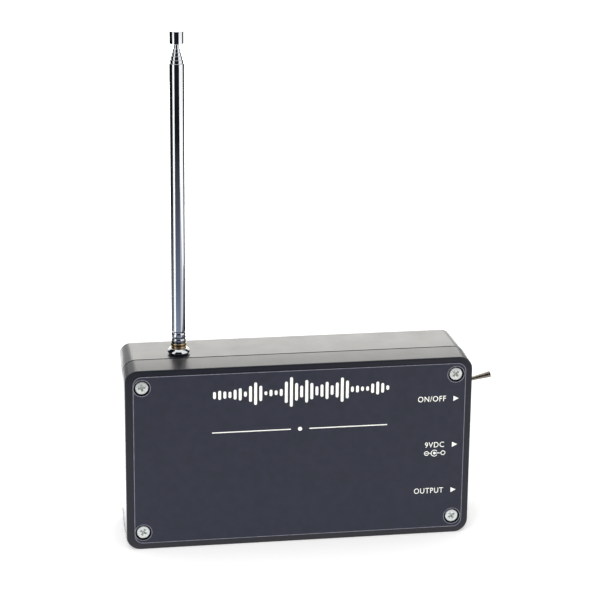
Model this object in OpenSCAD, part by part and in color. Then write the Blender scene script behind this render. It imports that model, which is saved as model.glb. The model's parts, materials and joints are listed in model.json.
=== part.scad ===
// Pitch-only theremin in a two-part plastic case, standing on its long narrow side.
// X runs to the right, Y to the back, Z up. The origin is the centre of the face that it stands on.

/* [Case] */
// Width of the case
case_w = 150; // [142:1:200]
// Height of the case
case_h = 82; // [82:1:110]
// Depth of the lid, from its front face to the seam
lid_depth = 13.4; // [12:0.2:20]
// Depth of the base shell, from the seam to its back face
base_depth = 25; // [24:0.5:40]
// Thickness of every wall
wall = 2.2; // [1.8:0.1:2.6]
// Radius of the four corners that run from front to back
corner_r = 6; // [5:0.5:8]
// Rounding of the front and back rims
rim_r = 0.6; // [0.3:0.1:1]
// Rounding of both shells where they meet
seam_r = 0.25; // [0.1:0.05:0.4]
// Height of the tongue that keys the shells together
tongue_h = 1.5; // [1:0.1:2.5]
// Thickness of the tongue
tongue_t = 1; // [0.6:0.1:1.2]

/* [Lid screws] */
// Distance of the screws from the left and right sides
screw_inset_x = 7.25; // [7:0.05:9]
// Distance of the screws from the top and bottom
screw_inset_z = 7.95; // [7.5:0.05:9]
// Diameter of the screw shank
screw_d = 2.9; // [2.5:0.1:3.5]
// Diameter of the pan head
screw_head_d = 5.6; // [5:0.1:6.4]
// Height of the pan head
screw_head_h = 2.1; // [1.6:0.1:2.6]
// Depth of the head below the lid's front face
screw_head_sink = 0.4; // [0.2:0.1:1]
// Diameter of the counterbore round the head
counterbore_d = 7; // [6.8:0.1:7.4]
// Length of thread in the base shell
screw_grip = 8; // [6:0.5:12]
// Outer diameter of the screw pillars
pillar_d = 8; // [7.6:0.1:9]

/* [Label plate] */
// Border of case that shows round the label
label_border = 3.1; // [2.9:0.1:3.3]
// Thickness of the label
label_t = 0.4; // [0.2:0.1:0.8]
// Corner radius of the label
label_r = 3.2; // [2.5:0.1:4]
// Diameter of the label's holes round the screws
label_hole_d = 7.6; // [7.4:0.1:7.8]

/* [Antenna] */
// Distance of the antenna from the left side
antenna_inset = 25.2; // [24:0.2:34]
// Distance of the antenna behind the seam
antenna_behind_seam = 7.1; // [6.5:0.1:10]
// Diameter of the outer tube
tube_d = 6.3; // [6.2:0.1:7.5]
// Wall of every tube
tube_wall = 0.25; // [0.2:0.01:0.3]
// Gap between one tube and the next
tube_gap = 0.15; // [0.13:0.01:0.2]
// Length of the outer tube
tube_len = 122.1; // [80:0.1:200]
// Height by which each section stands out of the one before it
section_step = 1.5; // [1:0.1:3]
// Length of the rod that shows under the tip
rod_neck = 2.1; // [1.5:0.1:6]
// Diameter of the tip cap
tip_d = 5.95; // [5:0.05:8]
// Height of the tip cap
tip_h = 5.4; // [4:0.1:10]
// Diameter of the brass ring at the foot
foot_d = 6.7; // [6.6:0.1:8]
// Height of the brass ring at the foot
foot_h = 2.3; // [1.5:0.1:5]
// Diameter of the domed collar at its base
collar_d = 9.7; // [9.2:0.1:14]
// Diameter of the domed collar at its top
collar_top_d = 7; // [6.8:0.1:8]
// Height of the domed collar
collar_h = 2.5; // [1.5:0.1:4]
// Diameter of the threaded stud under the foot
stud_d = 4; // [3:0.1:4.2]

/* [Toggle switch] */
// Height of the power inlet above the middle of the case
port_rise = 0.7; // [0:0.1:2]
// Gap between the switch housing and the screw pillar above it
port_room = 0.45; // [0.45:0.05:1.5]
// Distance of the three behind the seam
port_behind_seam = 7.8; // [7.6:0.1:9]
// Diameter of the switch bushing
bushing_d = 6; // [5.8:0.1:6.4]
// Bore of the switch bushing
bushing_bore = 4.2; // [4:0.1:4.4]
// Length of bushing that stands out of the case
bushing_out = 3.9; // [3.4:0.1:6]
// Length of the lever from its pivot
lever_len = 11.3; // [8:0.1:20]
// Diameter of the lever at its tip
lever_tip_d = 2.9; // [2:0.1:4]
// Diameter of the lever where it leaves the bushing
lever_root_d = 1.9; // [1.4:0.1:2.2]
// Angle of the lever to each side of the middle
lever_tilt = 12.5; // [8:0.5:13]
// Height of the switch housing
switch_h = 13.2; // [12:0.1:13.6]
// Width of the switch housing
switch_w = 7.9; // [6.8:0.1:9]
// Depth of the switch housing
switch_deep = 9; // [7:0.5:12]

/* [Power inlet] */
// Diameter of the inlet's barrel through the wall
inlet_d = 10.8; // [9.8:0.1:11.4]
// Bore that takes the power plug
inlet_bore = 5.8; // [5.6:0.1:6.4]
// Depth of that bore
inlet_depth = 9.5; // [8:0.5:10.5]
// Diameter of the centre pin
inlet_pin_d = 2; // [1.6:0.1:2.4]
// Diameter of the front flange
inlet_flange_d = 13.6; // [12.6:0.1:14.4]
// Length of the inlet behind the front of the wall
inlet_len = 13; // [12:0.5:16]

/* [Output socket] */
// Diameter of the threaded sleeve
sleeve_d = 9.4; // [9:0.1:10]
// Bore of the sleeve, for a 6.35 mm plug
sleeve_bore = 6.5; // [6.45:0.05:6.8]
// Length of sleeve that stands out of the case
sleeve_out = 3.8; // [3.2:0.1:4.4]
// Width across the flats of the front nut
socket_nut_af = 12.7; // [11.6:0.1:13.2]
// Length of the frame behind the wall
socket_frame_len = 14; // [12:0.5:18]

/* [Circuit board] */
// Width of the board
board_w = 72; // [70:1:78]
// Height of the board
board_h = 40; // [40:1:44]
// Thickness of the board
board_t = 1.6; // [1:0.1:2]
// Height of the posts under the board
post_h = 5; // [3:0.5:7]
// Offset of the board's centre from the middle of the case
board_shift = 1; // [-2:0.5:3]
// Gap between the board and the roof of the case
board_roof_gap = 3.8; // [3:0.1:5]

/* [Battery] */
// Length of the battery's body
battery_len = 46.4; // [44:0.1:47]
// Width of the battery
battery_w = 26.5; // [24:0.1:27]
// Thickness of the battery
battery_t = 17.5; // [15:0.1:18]
// Spacing of the two snap terminals
terminal_pitch = 12.7; // [12:0.1:13]
// Distance of the battery from the left side
battery_inset = 13; // [12.6:0.1:14]
// Thickness of the ribs round the battery
rib_t = 1.5; // [1:0.1:2]
// Height of the ribs that the battery lies on
rib_h = 2; // [1.5:0.1:2.4]

/* [Wires] */
// Diameter of an insulated wire
wire_d = 1.3; // [0.9:0.1:1.5]

/* [Clearances] */
// Gap round the tongue and the other moulded fits
fit_gap = 0.15; // [0.1:0.01:0.25]
// Radial clearance of parts that slide or turn
run_gap = 0.05; // [0.04:0.01:0.08]
// Radial clearance round threads and screws
screw_gap = 0.1; // [0.05:0.01:0.1]
// Gap between soft or loose pieces and what they rest on
rest_gap = 0.3; // [0.2:0.05:0.5]

/* [Hidden] */
$fn = 96;
e = 0.01;

// Planes of the case
depth = lid_depth + base_depth;
front_y = -depth / 2;
seam_y = front_y + lid_depth;
back_y = depth / 2;
side_x = case_w / 2;
mid_z = case_h / 2;
floor_in = wall;
roof_in = case_h - wall;
lid_in = front_y + wall;
back_in = back_y - wall;

// Lid screws
screw_x = side_x - screw_inset_x;
screw_z = mid_z - screw_inset_z;
counterbore_h = screw_head_h + screw_head_sink;
screw_seat_y = front_y + counterbore_h;
screw_len = seam_y - screw_seat_y + screw_grip;
pilot_spare = 1.5;
screw_hole_d = screw_d + 2 * screw_gap;
head_edge_h = 0.9;
recess_w = 0.9;
recess_len = 3.3;
recess_h = 1.2;
screw_tip_d = 0.6;

// Antenna
antenna_x = -side_x + antenna_inset;
antenna_y = seam_y + antenna_behind_seam;
section_pitch = 2 * (tube_wall + tube_gap);
collar_edge_h = 0.6;
foot_z = case_h + collar_h;
tube_z = foot_z + foot_h;
tube_top = tube_z + tube_len;
plug_len = 8;
plug_top = tube_z + plug_len;
section_z = plug_top + 0.5;
lip_h = 0.8;
lip_r = 0.35;
glide_h = 4;
crimp_r = 0.5;
crimp_deep = 0.2;
crimp_heights = [2.2, 4.8];
rod_d = section_d(6);
rod_top = tube_top + 4 * section_step + rod_neck;
tip_socket = 3;
tag_t = 0.8;
tag_d = 8.4;
tag_tail = 9;
tag_tail_w = 3;
tag_hole_inset = 1.6;
tag_hole_d = 1.4;
lock_t = 0.9;
lock_d = 7.4;
stud_nut_af = 7;
stud_nut_h = 3.2;
stud_spare = 1.5;
stud_hole_d = stud_d + 2 * screw_gap;
stud_len = collar_h + wall + tag_t + lock_t + stud_nut_h + stud_spare;

// Ports on the right side: switch on top, power inlet in the middle, output socket below
port_y = seam_y + port_behind_seam;
inlet_z = mid_z + port_rise;
switch_z = mid_z + screw_z - pillar_d / 2 - port_room - switch_h / 2;
socket_z = 2 * inlet_z - switch_z;

// Switch
bushing_hole_d = bushing_d + 2 * screw_gap;
pivot_in = 1.5;
pivot_out = bushing_out - pivot_in;
switch_washer_t = 0.4;
switch_washer_d = 9.4;
switch_nut_af = 8;
switch_nut_h = 2;
switch_lock_t = 0.6;
back_nut_h = 1.8;
plate_t = 0.5;
plate_in = wall + switch_lock_t + back_nut_h + 0.6;
switch_in = plate_in + plate_t;
lever_inner = 4;
lever_inner_d = 1.5;
switch_tag_pitch = 4.7;
switch_tag_len = 4;
switch_tag_t = 0.8;
switch_tag_w = 2;
switch_tag_hole = 0.9;

// Power inlet
inlet_hole_d = inlet_d + 2 * screw_gap;
inlet_flange_t = 1.8;
inlet_nut_af = 14;
inlet_nut_h = 2.2;
pin_recess = 1;
pin_z = inlet_flange_t - pin_recess - inlet_pin_d / 2;
inlet_tag_len = 5;
inlet_tag_x = 3.4;
inlet_tag_t = 0.6;
inlet_tag_w = 2.4;
inlet_tag_hole = 1.2;

// Output socket
sleeve_hole_d = sleeve_d + 2 * screw_gap;
socket_washer_t = 0.8;
socket_washer_d = 13.4;
socket_nut_h = 2.2;
socket_plate_t = 1.2;
socket_plate_w = 14;
socket_leg_y = 6.4;
socket_plate_in = wall + socket_washer_t;
socket_end = socket_plate_in + socket_plate_t + socket_frame_len;
spring_t = 0.5;
spring_w = 5;
spring_reach = 9;
spring_clear = 0.15;
spring_lift = 1;
spring_nose = 2;
insulator_t = 0.7;
insulator_len = 7;
socket_tag_w = 2.6;
socket_tag_t = 0.6;
socket_tag_len = 5;
socket_tag_lap = 4;
socket_tag_x = 5.1;

// Board
board_x = board_shift;
board_z = roof_in - board_roof_gap - board_h / 2;
board_back = back_in - post_h;
board_face = board_back - board_t;
hole_inset = 3.5;
post_d = 5.6;
board_screw_d = 2.2;
board_hole_d = board_screw_d + 2 * screw_gap;
board_head_d = 4.2;
board_head_h = 1.5;
board_screw_len = 5.5;
board_recess = [2.2, 0.6, 0.7];
chip_w = 6.4;
chip_len = 19.2;
chip_t = 3.3;
chip_rise = 0.5;
notch_r = 1;
socket_t = 4.2;
socket_side = 2.8;
socket_border = 2;
leg_pitch = 2.54;
row_pitch = 7.62;
leg_w = 1.2;
leg_t = 0.25;
can_w = 10;
can_h = 12.5;
core_d = 5.8;
core_h = 3.5;
core_sink = 0.5;
core_slot = [4.06, 0.8, 1.2];
trimmer_w = 9.5;
trimmer_h = 4.8;
rotor_d = 5.6;
rotor_h = 2;
rotor_rise = 0.2;
rotor_slot = [4, 0.7, 0.9];
groove_z = 1.3;
groove_r = 0.8;
groove_deep = 0.3;
film_len = 7.2;
film_t = 2.6;
film_h = 6.5;
lead_d = 0.6;
disc_d = 5;
disc_t = 2;
disc_z = 4.6;
disc_lead_x = 1.3;
disc_lead_in = 0.15;
resistor_len = 6.3;
resistor_d = 2.3;
resistor_z = 1.4;
resistor_reach = 4.4;
case_d = 4.8;
case_flat = 1.2;
case_z = 2.5;
case_lead_d = 0.5;
case_lead_pitch = 1.27;
case_lead_y = 0.4;
// Cans, two chips and the trimmer stand in a row, with equal gaps between them and at the edges
row_gap = (board_w - can_w - 2 * chip_len - trimmer_w) / 5;

// Wires: the gap at each solder point, the first bend after it and the pads on the board,
// which are measured inwards from its left, right and lower edges
wire_end = 0.4;
snap_wire_z = 8;
snap_wire_y = 1;
antenna_bend = [3.5, 2, -2.6];
antenna_pads = [[6, 17, 5], [9.5, 15, 1]];
snap_bends = [[3, -1, 3], [6, -1, 5]];
snap_pads = [[[-12, -4.5, 3], [-10, 1.5, 1]], [[-4, -7, 3], [-4, 1.5, 1]]];
switch_bend = [-6, 2, 1];
switch_pads = [[[-6, 5, 4], [row_gap / 2, 6, 1]], [[-6, 9, 4], [row_gap / 2, 10, 1]]];
inlet_bend = [-6, 2, 0.5];
inlet_pads = [[[-5, -9, 4], [row_gap / 2, -4, 1]], [[-5, -14, 4], [row_gap / 2, -8, 1]]];
output_bend = [-7, -1, 3];
output_pads = [[[24, -6, 3], [20, 1.5, 1]], [[29, -6, 3], [25, 1.5, 1]]];

// Battery
battery_x = -side_x + battery_inset;
battery_z = floor_in + rib_h;
battery_front = back_in - battery_t - rest_gap;
battery_mid_y = battery_front + battery_t / 2;
battery_mid_z = battery_z + battery_w / 2;
battery_end = battery_x + battery_len;
stud_terminal_d = 5.8;
cup_terminal_d = 8;
terminal_h = 2.1;
snap_t = 4.2;
snap_w = 13;
snap_len = 25;
pad_w = 20;
pad_inset = 7;
rib_reach = 0.7 * battery_t;
rib_inset_a = 6;
rib_inset_b = 12;

// Outer diameter of antenna section n, counted from the outside
function section_d(n) = tube_d - (n - 1) * section_pitch;
// Height of the top of antenna section n
function section_top(n) = tube_top + (n - 1) * section_step;
// Places in X and Z of the four lid screws
screw_places = [for (sx = [-1, 1], sz = [-1, 1]) [sx * screw_x, mid_z + sz * screw_z]];
// Places on the board, measured from its centre
post_x = board_w / 2 - hole_inset;
post_z = board_h / 2 - hole_inset;
post_places = [for (sx = [-1, 1], sz = [-1, 1]) [sx * post_x, sz * post_z]];
can_x = -board_w / 2 + row_gap + can_w / 2;
chip_x = can_x + can_w / 2 + row_gap + chip_len / 2;
trimmer_x = board_w / 2 - row_gap - trimmer_w / 2;
chip_places = [[chip_x, 0], [chip_x + chip_len + row_gap, 0]];
can_places = [[can_x, 6], [can_x, -6]];
trimmer_place = [trimmer_x, 4];
// Each capacitor has its place, diameter and height
electrolytics = [[-17, 13.5, 6.3, 11], [-8, 13.5, 6.3, 11], [board_w / 2 - 8, -6.5, 8, 12]];
film_places = [[2.5, 14], [12, 14], [21.5, 14]];
ceramic_places = [[-14, 8], [-4, 8], [6, 8], [16, 8], [board_w / 2 - 15.5, -8]];
resistor_places = [[-14, -8], [-2, -8], [10, -8], [-14, -11.5], [-2, -11.5], [10, -11.5], [-2, -15]];
transistor_places = [[-22, -15], [14, -15.5], [22, -14]];

// ---- Shared shapes ----

// Section through a rounded corner, with its two outer ends rounded by rim_a and rim_b
module rim_section(r, length, rim_a, rim_b) {
    difference() {
        square([r, length]);
        translate([r - rim_a, rim_a]) difference() {
            translate([0, -rim_a]) square([rim_a, rim_a]);
            circle(rim_a);
        }
        translate([r - rim_b, length - rim_b]) difference() {
            square([rim_b, rim_b]);
            circle(rim_b);
        }
    }
}

// Block from y_a to y_b with round corners, whose front rim is rounded by rim_a and back rim by rim_b
module case_block(w, h, r, y_a, y_b, rim_a, rim_b) {
    length = y_b - y_a;
    translate([0, y_a, mid_z]) rotate([-90, 0, 0]) {
        translate([-w / 2 + r, -h / 2 + r, 0]) cube([w - 2 * r, h - 2 * r, length]);
        for (side = [0, 1]) {
            rotate(180 * side) translate([w / 2 - r, 0, 0]) rotate([90, 0, 0])
                linear_extrude(h - 2 * r, center = true) rim_section(r, length, rim_a, rim_b);
            rotate(90 + 180 * side) translate([h / 2 - r, 0, 0]) rotate([90, 0, 0])
                linear_extrude(w - 2 * r, center = true) rim_section(r, length, rim_a, rim_b);
            rotate(180 * side) translate([w / 2 - r, h / 2 - r, 0])
                rotate_extrude(angle = 90) rim_section(r, length, rim_a, rim_b);
            rotate(180 * side) translate([-w / 2 + r, h / 2 - r, 0])
                rotate(90) rotate_extrude(angle = 90) rim_section(r, length, rim_a, rim_b);
        }
    }
}

// Rectangle with round corners, centred
module rounded_rect(w, h, r) {
    square([w - 2 * r, h], center = true);
    square([w, h - 2 * r], center = true);
    for (sx = [-1, 1], sy = [-1, 1]) translate([sx * (w / 2 - r), sy * (h / 2 - r)]) circle(r);
}

// Plain block from y_a to y_b with round corners
module plain_block(w, h, r, y_a, y_b) {
    translate([0, y_a, mid_z]) rotate([-90, 0, 0]) linear_extrude(y_b - y_a) rounded_rect(w, h, r);
}

// Cylinder along Y from y_a to y_b at X and Z
module y_rod(place, d, y_a, y_b) {
    translate([place[0], y_a, place[1]]) rotate([-90, 0, 0]) cylinder(h = y_b - y_a, d = d);
}

// Stands a shape on the antenna's axis
module on_antenna() {
    translate([antenna_x, antenna_y, 0]) children();
}

// Turns a shape so that its Z points out of the right side, with Z = 0 on the outer face
module on_side(z) {
    translate([side_x, port_y, z]) rotate([0, 90, 0]) children();
}

// Ring along Z from z_a to z_b
module ring(d, bore, z_a, z_b) {
    translate([0, 0, z_a]) difference() {
        cylinder(h = z_b - z_a, d = d);
        translate([0, 0, -1]) cylinder(h = z_b - z_a + 2, d = bore);
    }
}

// Hexagon nut along Z from z_a to z_b
module hex_nut(af, bore, z_a, z_b) {
    translate([0, 0, z_a]) difference() {
        cylinder(h = z_b - z_a, d = af / cos(30), $fn = 6);
        translate([0, 0, -1]) cylinder(h = z_b - z_a + 2, d = bore);
    }
}

// Lays a shape flat on the board at a place, with its Z pointing to the front of the case
module on_board(place) {
    translate([board_x + place[0], board_face, board_z + place[1]]) rotate([90, 0, 0]) children();
}

// Catmull-Rom point between p[k] and p[k + 1]
function curve(p, k, t) =
    let (a = p[max(k - 1, 0)], b = p[k], c = p[k + 1], d = p[min(k + 2, len(p) - 1)])
    (2 * b + (c - a) * t + (2 * a - 5 * b + 4 * c - d) * t * t + (3 * b - a - 3 * c + d) * t * t * t) / 2;
function curve_points(p, steps) = concat(
    [for (k = [0:len(p) - 2], j = [0:steps - 1]) curve(p, k, j / steps)],
    [p[len(p) - 1]]
);
function unit(v) = v / norm(v);
function heading(q, i) = unit(q[min(i + 1, len(q) - 1)] - q[max(i - 1, 0)]);

// Round wire along a smooth curve through its points, none of which heads along Y
module wire(points, d = wire_d, sides = 8, steps = 3) {
    q = curve_points(points, steps);
    n = len(q);
    rings = [for (i = [0:n - 1], s = [0:sides - 1])
        let (t = heading(q, i), u = unit(cross(t, [0, 1, 0])), v = cross(t, u), turn = 360 * s / sides)
        q[i] + d / 2 * (cos(turn) * u + sin(turn) * v)];
    walls = [for (i = [0:n - 2], s = [0:sides - 1], half = [0, 1])
        let (a = i * sides + s, b = i * sides + (s + 1) % sides)
        half == 0 ? [a, b, b + sides] : [a, b + sides, a + sides]];
    ends = [for (s = [1:sides - 2], side = [0, 1])
        side == 0 ? [0, s + 1, s] : [(n - 1) * sides, (n - 1) * sides + s, (n - 1) * sides + s + 1]];
    polyhedron(points = rings, faces = [for (f = concat(walls, ends)) [f[0], f[2], f[1]]], convexity = 4);
}

// ---- Case ----

module base_shell() {
    color("#1b1a1d") difference() {
        union() {
            difference() {
                case_block(case_w, case_h, corner_r, seam_y, back_y, seam_r, rim_r);
                plain_block(case_w - 2 * wall, case_h - 2 * wall, corner_r - wall, seam_y - 1, back_in);
            }
            difference() {
                tongue_block(0, seam_y - tongue_h, seam_y + 1);
                plain_block(case_w - 2 * wall, case_h - 2 * wall, corner_r - wall, seam_y - 3, seam_y + 2);
            }
            pillars(seam_y, back_in + e);
            board_posts();
            battery_ribs();
        }
        for (p = screw_places) y_rod(p, screw_hole_d, seam_y - 1, seam_y + screw_grip + pilot_spare);
        for (p = post_places)
            y_rod([board_x + p[0], board_z + p[1]], board_hole_d, board_back - 1, back_in);
        on_antenna() translate([0, 0, roof_in - 1]) cylinder(h = wall + 2, d = stud_hole_d);
        on_side(switch_z) translate([0, 0, -wall - 1]) cylinder(h = wall + 2, d = bushing_hole_d);
        on_side(inlet_z) translate([0, 0, -wall - 1]) cylinder(h = wall + 2, d = inlet_hole_d);
        on_side(socket_z) translate([0, 0, -wall - 1]) cylinder(h = wall + 2, d = sleeve_hole_d);
    }
}

// Block whose outside is the tongue's outside, grown by a gap
module tongue_block(gap, y_a, y_b) {
    grow = tongue_t + gap;
    plain_block(
        case_w - 2 * wall + 2 * grow, case_h - 2 * wall + 2 * grow,
        corner_r - wall + grow, y_a, y_b
    );
}

// Four screw pillars, trimmed to the inside of the walls
module pillars(y_a, y_b) {
    intersection() {
        plain_block(case_w - wall, case_h - wall, corner_r - wall / 2, y_a, y_b);
        for (p = screw_places) y_rod(p, pillar_d, y_a, y_b);
    }
}

module board_posts() {
    for (p = post_places) y_rod([board_x + p[0], board_z + p[1]], post_d, board_back, back_in + e);
}

// Ribs that hold the battery from below, at its left end and from above
module battery_ribs() {
    for (x = [battery_x + rib_inset_a, battery_end - rib_inset_b])
        translate([x, back_in - rib_reach, floor_in - e]) cube([rib_t, rib_reach + e, rib_h + e]);
    translate([battery_x - rest_gap - rib_t, back_in - rib_reach, battery_z])
        cube([rib_t, rib_reach + e, battery_w]);
    translate([battery_x, back_in - rib_reach, battery_z + battery_w + rest_gap])
        cube([battery_len - rib_inset_a, rib_reach + e, rib_t]);
}

module lid_shell() {
    color("#1b1a1d") difference() {
        union() {
            difference() {
                case_block(case_w, case_h, corner_r, front_y, seam_y, rim_r, seam_r);
                plain_block(case_w - 2 * wall, case_h - 2 * wall, corner_r - wall, lid_in, seam_y + 1);
            }
            pillars(lid_in - e, seam_y);
        }
        difference() {
            tongue_block(fit_gap, seam_y - tongue_h - fit_gap, seam_y + 1);
            plain_block(
                case_w - 2 * wall - 2 * fit_gap, case_h - 2 * wall - 2 * fit_gap,
                corner_r - wall - fit_gap, seam_y - 5, seam_y + 2
            );
        }
        for (p = screw_places) {
            y_rod(p, counterbore_d, front_y - 1, screw_seat_y);
            y_rod(p, screw_hole_d, front_y, seam_y + 1);
        }
    }
}

module label_plate() {
    color("#3c3f4c") difference() {
        plain_block(
            case_w - 2 * label_border, case_h - 2 * label_border,
            label_r, front_y - label_t, front_y
        );
        for (p = screw_places) y_rod(p, label_hole_d, front_y - label_t - 1, front_y + 1);
    }
}

// Pan heads with a cross recess, and pointed shanks
module lid_screws() {
    dome_h = screw_head_h - head_edge_h;
    dome_r = (dome_h * dome_h + pow(screw_head_d / 2, 2)) / (2 * dome_h);
    point_h = screw_d;
    color("#c9ccc8") for (p = screw_places) {
        translate([p[0], screw_seat_y, p[1]]) rotate([90, 0, 0]) difference() {
            union() {
                intersection() {
                    cylinder(h = screw_head_h + e, d = screw_head_d);
                    translate([0, 0, screw_head_h - dome_r]) sphere(dome_r);
                }
                translate([0, 0, point_h - screw_len]) cylinder(h = screw_len - point_h + e, d = screw_d);
                translate([0, 0, -screw_len]) cylinder(h = point_h, d1 = screw_tip_d, d2 = screw_d);
            }
            for (turn = [45, 135]) rotate(turn)
                translate([-recess_len / 2, -recess_w / 2, screw_head_h - recess_h])
                    cube([recess_len, recess_w, recess_h + 1]);
        }
    }
}

// Foam block on the inside of the lid that presses on the battery
module battery_pad() {
    pad_len = battery_len - 2 * pad_inset;
    color("#3a3a3d") translate([battery_x + pad_inset, lid_in, battery_mid_z - pad_w / 2])
        cube([pad_len, battery_front - rest_gap - lid_in, pad_w]);
}

// ---- Antenna ----

module antenna_collar() {
    a = (collar_d - collar_top_d) / 2;
    b = collar_h - collar_edge_h;
    dome_r = (a * a + b * b) / (2 * a);
    color("#d4d8dc") on_antenna() translate([0, 0, case_h]) rotate_extrude() difference() {
        union() {
            square([collar_d / 2 - dome_r, collar_h]);
            square([collar_d / 2, collar_edge_h]);
            intersection() {
                translate([collar_d / 2 - dome_r, collar_edge_h]) circle(dome_r);
                square([collar_d, collar_h]);
            }
        }
        translate([-1, -1]) square([1 + stud_d / 2 + screw_gap, collar_h + 2]);
    }
}

// Brass ring with a plug up into the tube and a threaded stud down through the case
module antenna_foot() {
    plug_r = section_d(1) / 2 - tube_wall - run_gap;
    edge = 0.3;
    color("#b98f52") on_antenna() {
        translate([0, 0, foot_z - stud_len]) cylinder(h = stud_len + e, d = stud_d);
        rotate_extrude() difference() {
            union() {
                translate([0, foot_z]) square([foot_d / 2, foot_h]);
                translate([0, tube_z - e]) square([plug_r, plug_len + e]);
            }
            translate([foot_d / 2 - edge, tube_z - edge]) difference() {
                square([edge, edge]);
                circle(edge);
            }
            for (h = crimp_heights)
                translate([crimp_x(), tube_z + h]) circle(crimp_r + tube_wall + run_gap);
        }
    }
}

function crimp_x() = section_d(1) / 2 + crimp_r - crimp_deep;

// Tube of antenna section n, from z_a to its rolled-in top lip
module section_tube(n, z_a) {
    ro = section_d(n) / 2;
    ri = ro - tube_wall;
    z_b = section_top(n);
    lip_in = section_d(n + 1) / 2 + run_gap;
    difference() {
        union() {
            translate([ri, z_a]) square([tube_wall, z_b - z_a]);
            translate([lip_in, z_b - lip_h]) square([ro - lip_in, lip_h]);
            children();
        }
        translate([ro - lip_r, z_b - lip_r]) difference() {
            square([lip_r, lip_r]);
            circle(lip_r);
        }
    }
}

// Spring collar at the foot of an inner section, which runs in the section outside it
module glide(n) {
    bore = section_d(n - 1) / 2 - tube_wall - run_gap;
    inner = n == 6 ? 0 : section_d(n) / 2 - tube_wall;
    translate([inner, section_z]) square([bore - inner, glide_h]);
}

// Outer tube, crimped in two rings on the plug of the foot
module antenna_tube_1() {
    ri = section_d(1) / 2 - tube_wall;
    color("#cfd3d6") on_antenna() rotate_extrude() difference() {
        section_tube(1, tube_z) for (h = crimp_heights) intersection() {
            translate([crimp_x(), tube_z + h]) circle(crimp_r + tube_wall);
            translate([0, tube_z]) square([ri + e, plug_len]);
        }
        for (h = crimp_heights) translate([crimp_x(), tube_z + h]) circle(crimp_r);
    }
}

module inner_tube(n) {
    color("#cfd3d6") on_antenna() rotate_extrude() section_tube(n, section_z) glide(n);
}

module antenna_tube_2() { inner_tube(2); }
module antenna_tube_3() { inner_tube(3); }
module antenna_tube_4() { inner_tube(4); }
module antenna_tube_5() { inner_tube(5); }

module antenna_rod() {
    color("#cfd3d6") on_antenna() rotate_extrude() {
        translate([0, section_z]) square([rod_d / 2, rod_top + tip_socket - section_z]);
        glide(6);
    }
}

module antenna_tip() {
    edge = 0.4;
    color("#d8dbde") on_antenna() translate([0, 0, rod_top]) rotate_extrude() difference() {
        square([tip_d / 2, tip_h]);
        translate([tip_d / 2 - edge, tip_h - edge]) difference() {
            square([edge, edge]);
            circle(edge);
        }
        translate([tip_d / 2 - edge, edge]) difference() {
            translate([0, -edge]) square([edge, edge]);
            circle(edge);
        }
        translate([-1, -1]) square([1 + rod_d / 2 + run_gap, 1 + tip_socket + run_gap]);
    }
}

// Solder tag whose tail points along the roof to the board
module antenna_tag() {
    z_a = roof_in - tag_t;
    color("#c8b37a") on_antenna() difference() {
        union() {
            translate([0, 0, z_a]) cylinder(h = tag_t, d = tag_d);
            translate([0, -tag_tail_w / 2, z_a]) cube([tag_tail, tag_tail_w, tag_t]);
        }
        translate([0, 0, z_a - 1]) cylinder(h = tag_t + 2, d = stud_hole_d);
        translate([tag_tail - tag_hole_inset, 0, z_a - 1]) cylinder(h = tag_t + 2, d = tag_hole_d);
    }
}

module antenna_washer() {
    z_b = roof_in - tag_t;
    color("#b8bbbd") on_antenna() ring(lock_d, stud_hole_d, z_b - lock_t, z_b);
}

module antenna_nut() {
    z_b = roof_in - tag_t - lock_t;
    color("#c4c6c8") on_antenna() hex_nut(stud_nut_af, stud_hole_d, z_b - stud_nut_h, z_b);
}

// ---- Toggle switch ----

module switch_body() {
    color("#6e2b24") on_side(switch_z) translate([-switch_h / 2, -switch_w / 2, -switch_in - switch_deep])
        cube([switch_h, switch_w, switch_deep]);
}

// Threaded bushing on its cover plate
module switch_bushing() {
    color("#c9ccce") on_side(switch_z) difference() {
        union() {
            translate([0, 0, -plate_in - e]) cylinder(h = plate_in + bushing_out + e, d = bushing_d);
            translate([-switch_h / 2, -switch_w / 2, -switch_in]) cube([switch_h, switch_w, plate_t]);
        }
        translate([0, 0, -switch_in - 1]) cylinder(h = switch_in + bushing_out + 2, d = bushing_bore);
    }
}

// Bat lever on a ball that rocks in the bushing, tilted up
module switch_lever() {
    ball_d = bushing_bore - 4 * run_gap;
    color("#cdd0d2") on_side(switch_z) translate([0, 0, pivot_out]) rotate([0, -lever_tilt, 0]) {
        sphere(d = ball_d);
        cylinder(h = lever_len - lever_tip_d / 4, d1 = lever_root_d, d2 = lever_tip_d);
        translate([0, 0, lever_len - lever_tip_d / 4]) intersection() {
            cylinder(h = lever_tip_d / 4, d = lever_tip_d);
            translate([0, 0, lever_tip_d / 4 - lever_tip_d * 5 / 8]) sphere(d = lever_tip_d * 5 / 4);
        }
        translate([0, 0, -lever_inner]) cylinder(h = lever_inner, d = lever_inner_d);
    }
}

module switch_face_washer() {
    color("#c9ccce") on_side(switch_z) ring(switch_washer_d, bushing_hole_d, 0, switch_washer_t);
}

module switch_face_nut() {
    color("#c9ccce") on_side(switch_z)
        hex_nut(switch_nut_af, bushing_hole_d, switch_washer_t, switch_washer_t + switch_nut_h);
}

module switch_lock_washer() {
    color("#b0b3b5") on_side(switch_z)
        ring(switch_washer_d, bushing_hole_d, -wall - switch_lock_t, -wall);
}

module switch_back_nut() {
    z_b = -wall - switch_lock_t;
    color("#c9ccce") on_side(switch_z) hex_nut(switch_nut_af, bushing_hole_d, z_b - back_nut_h, z_b);
}

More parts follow.
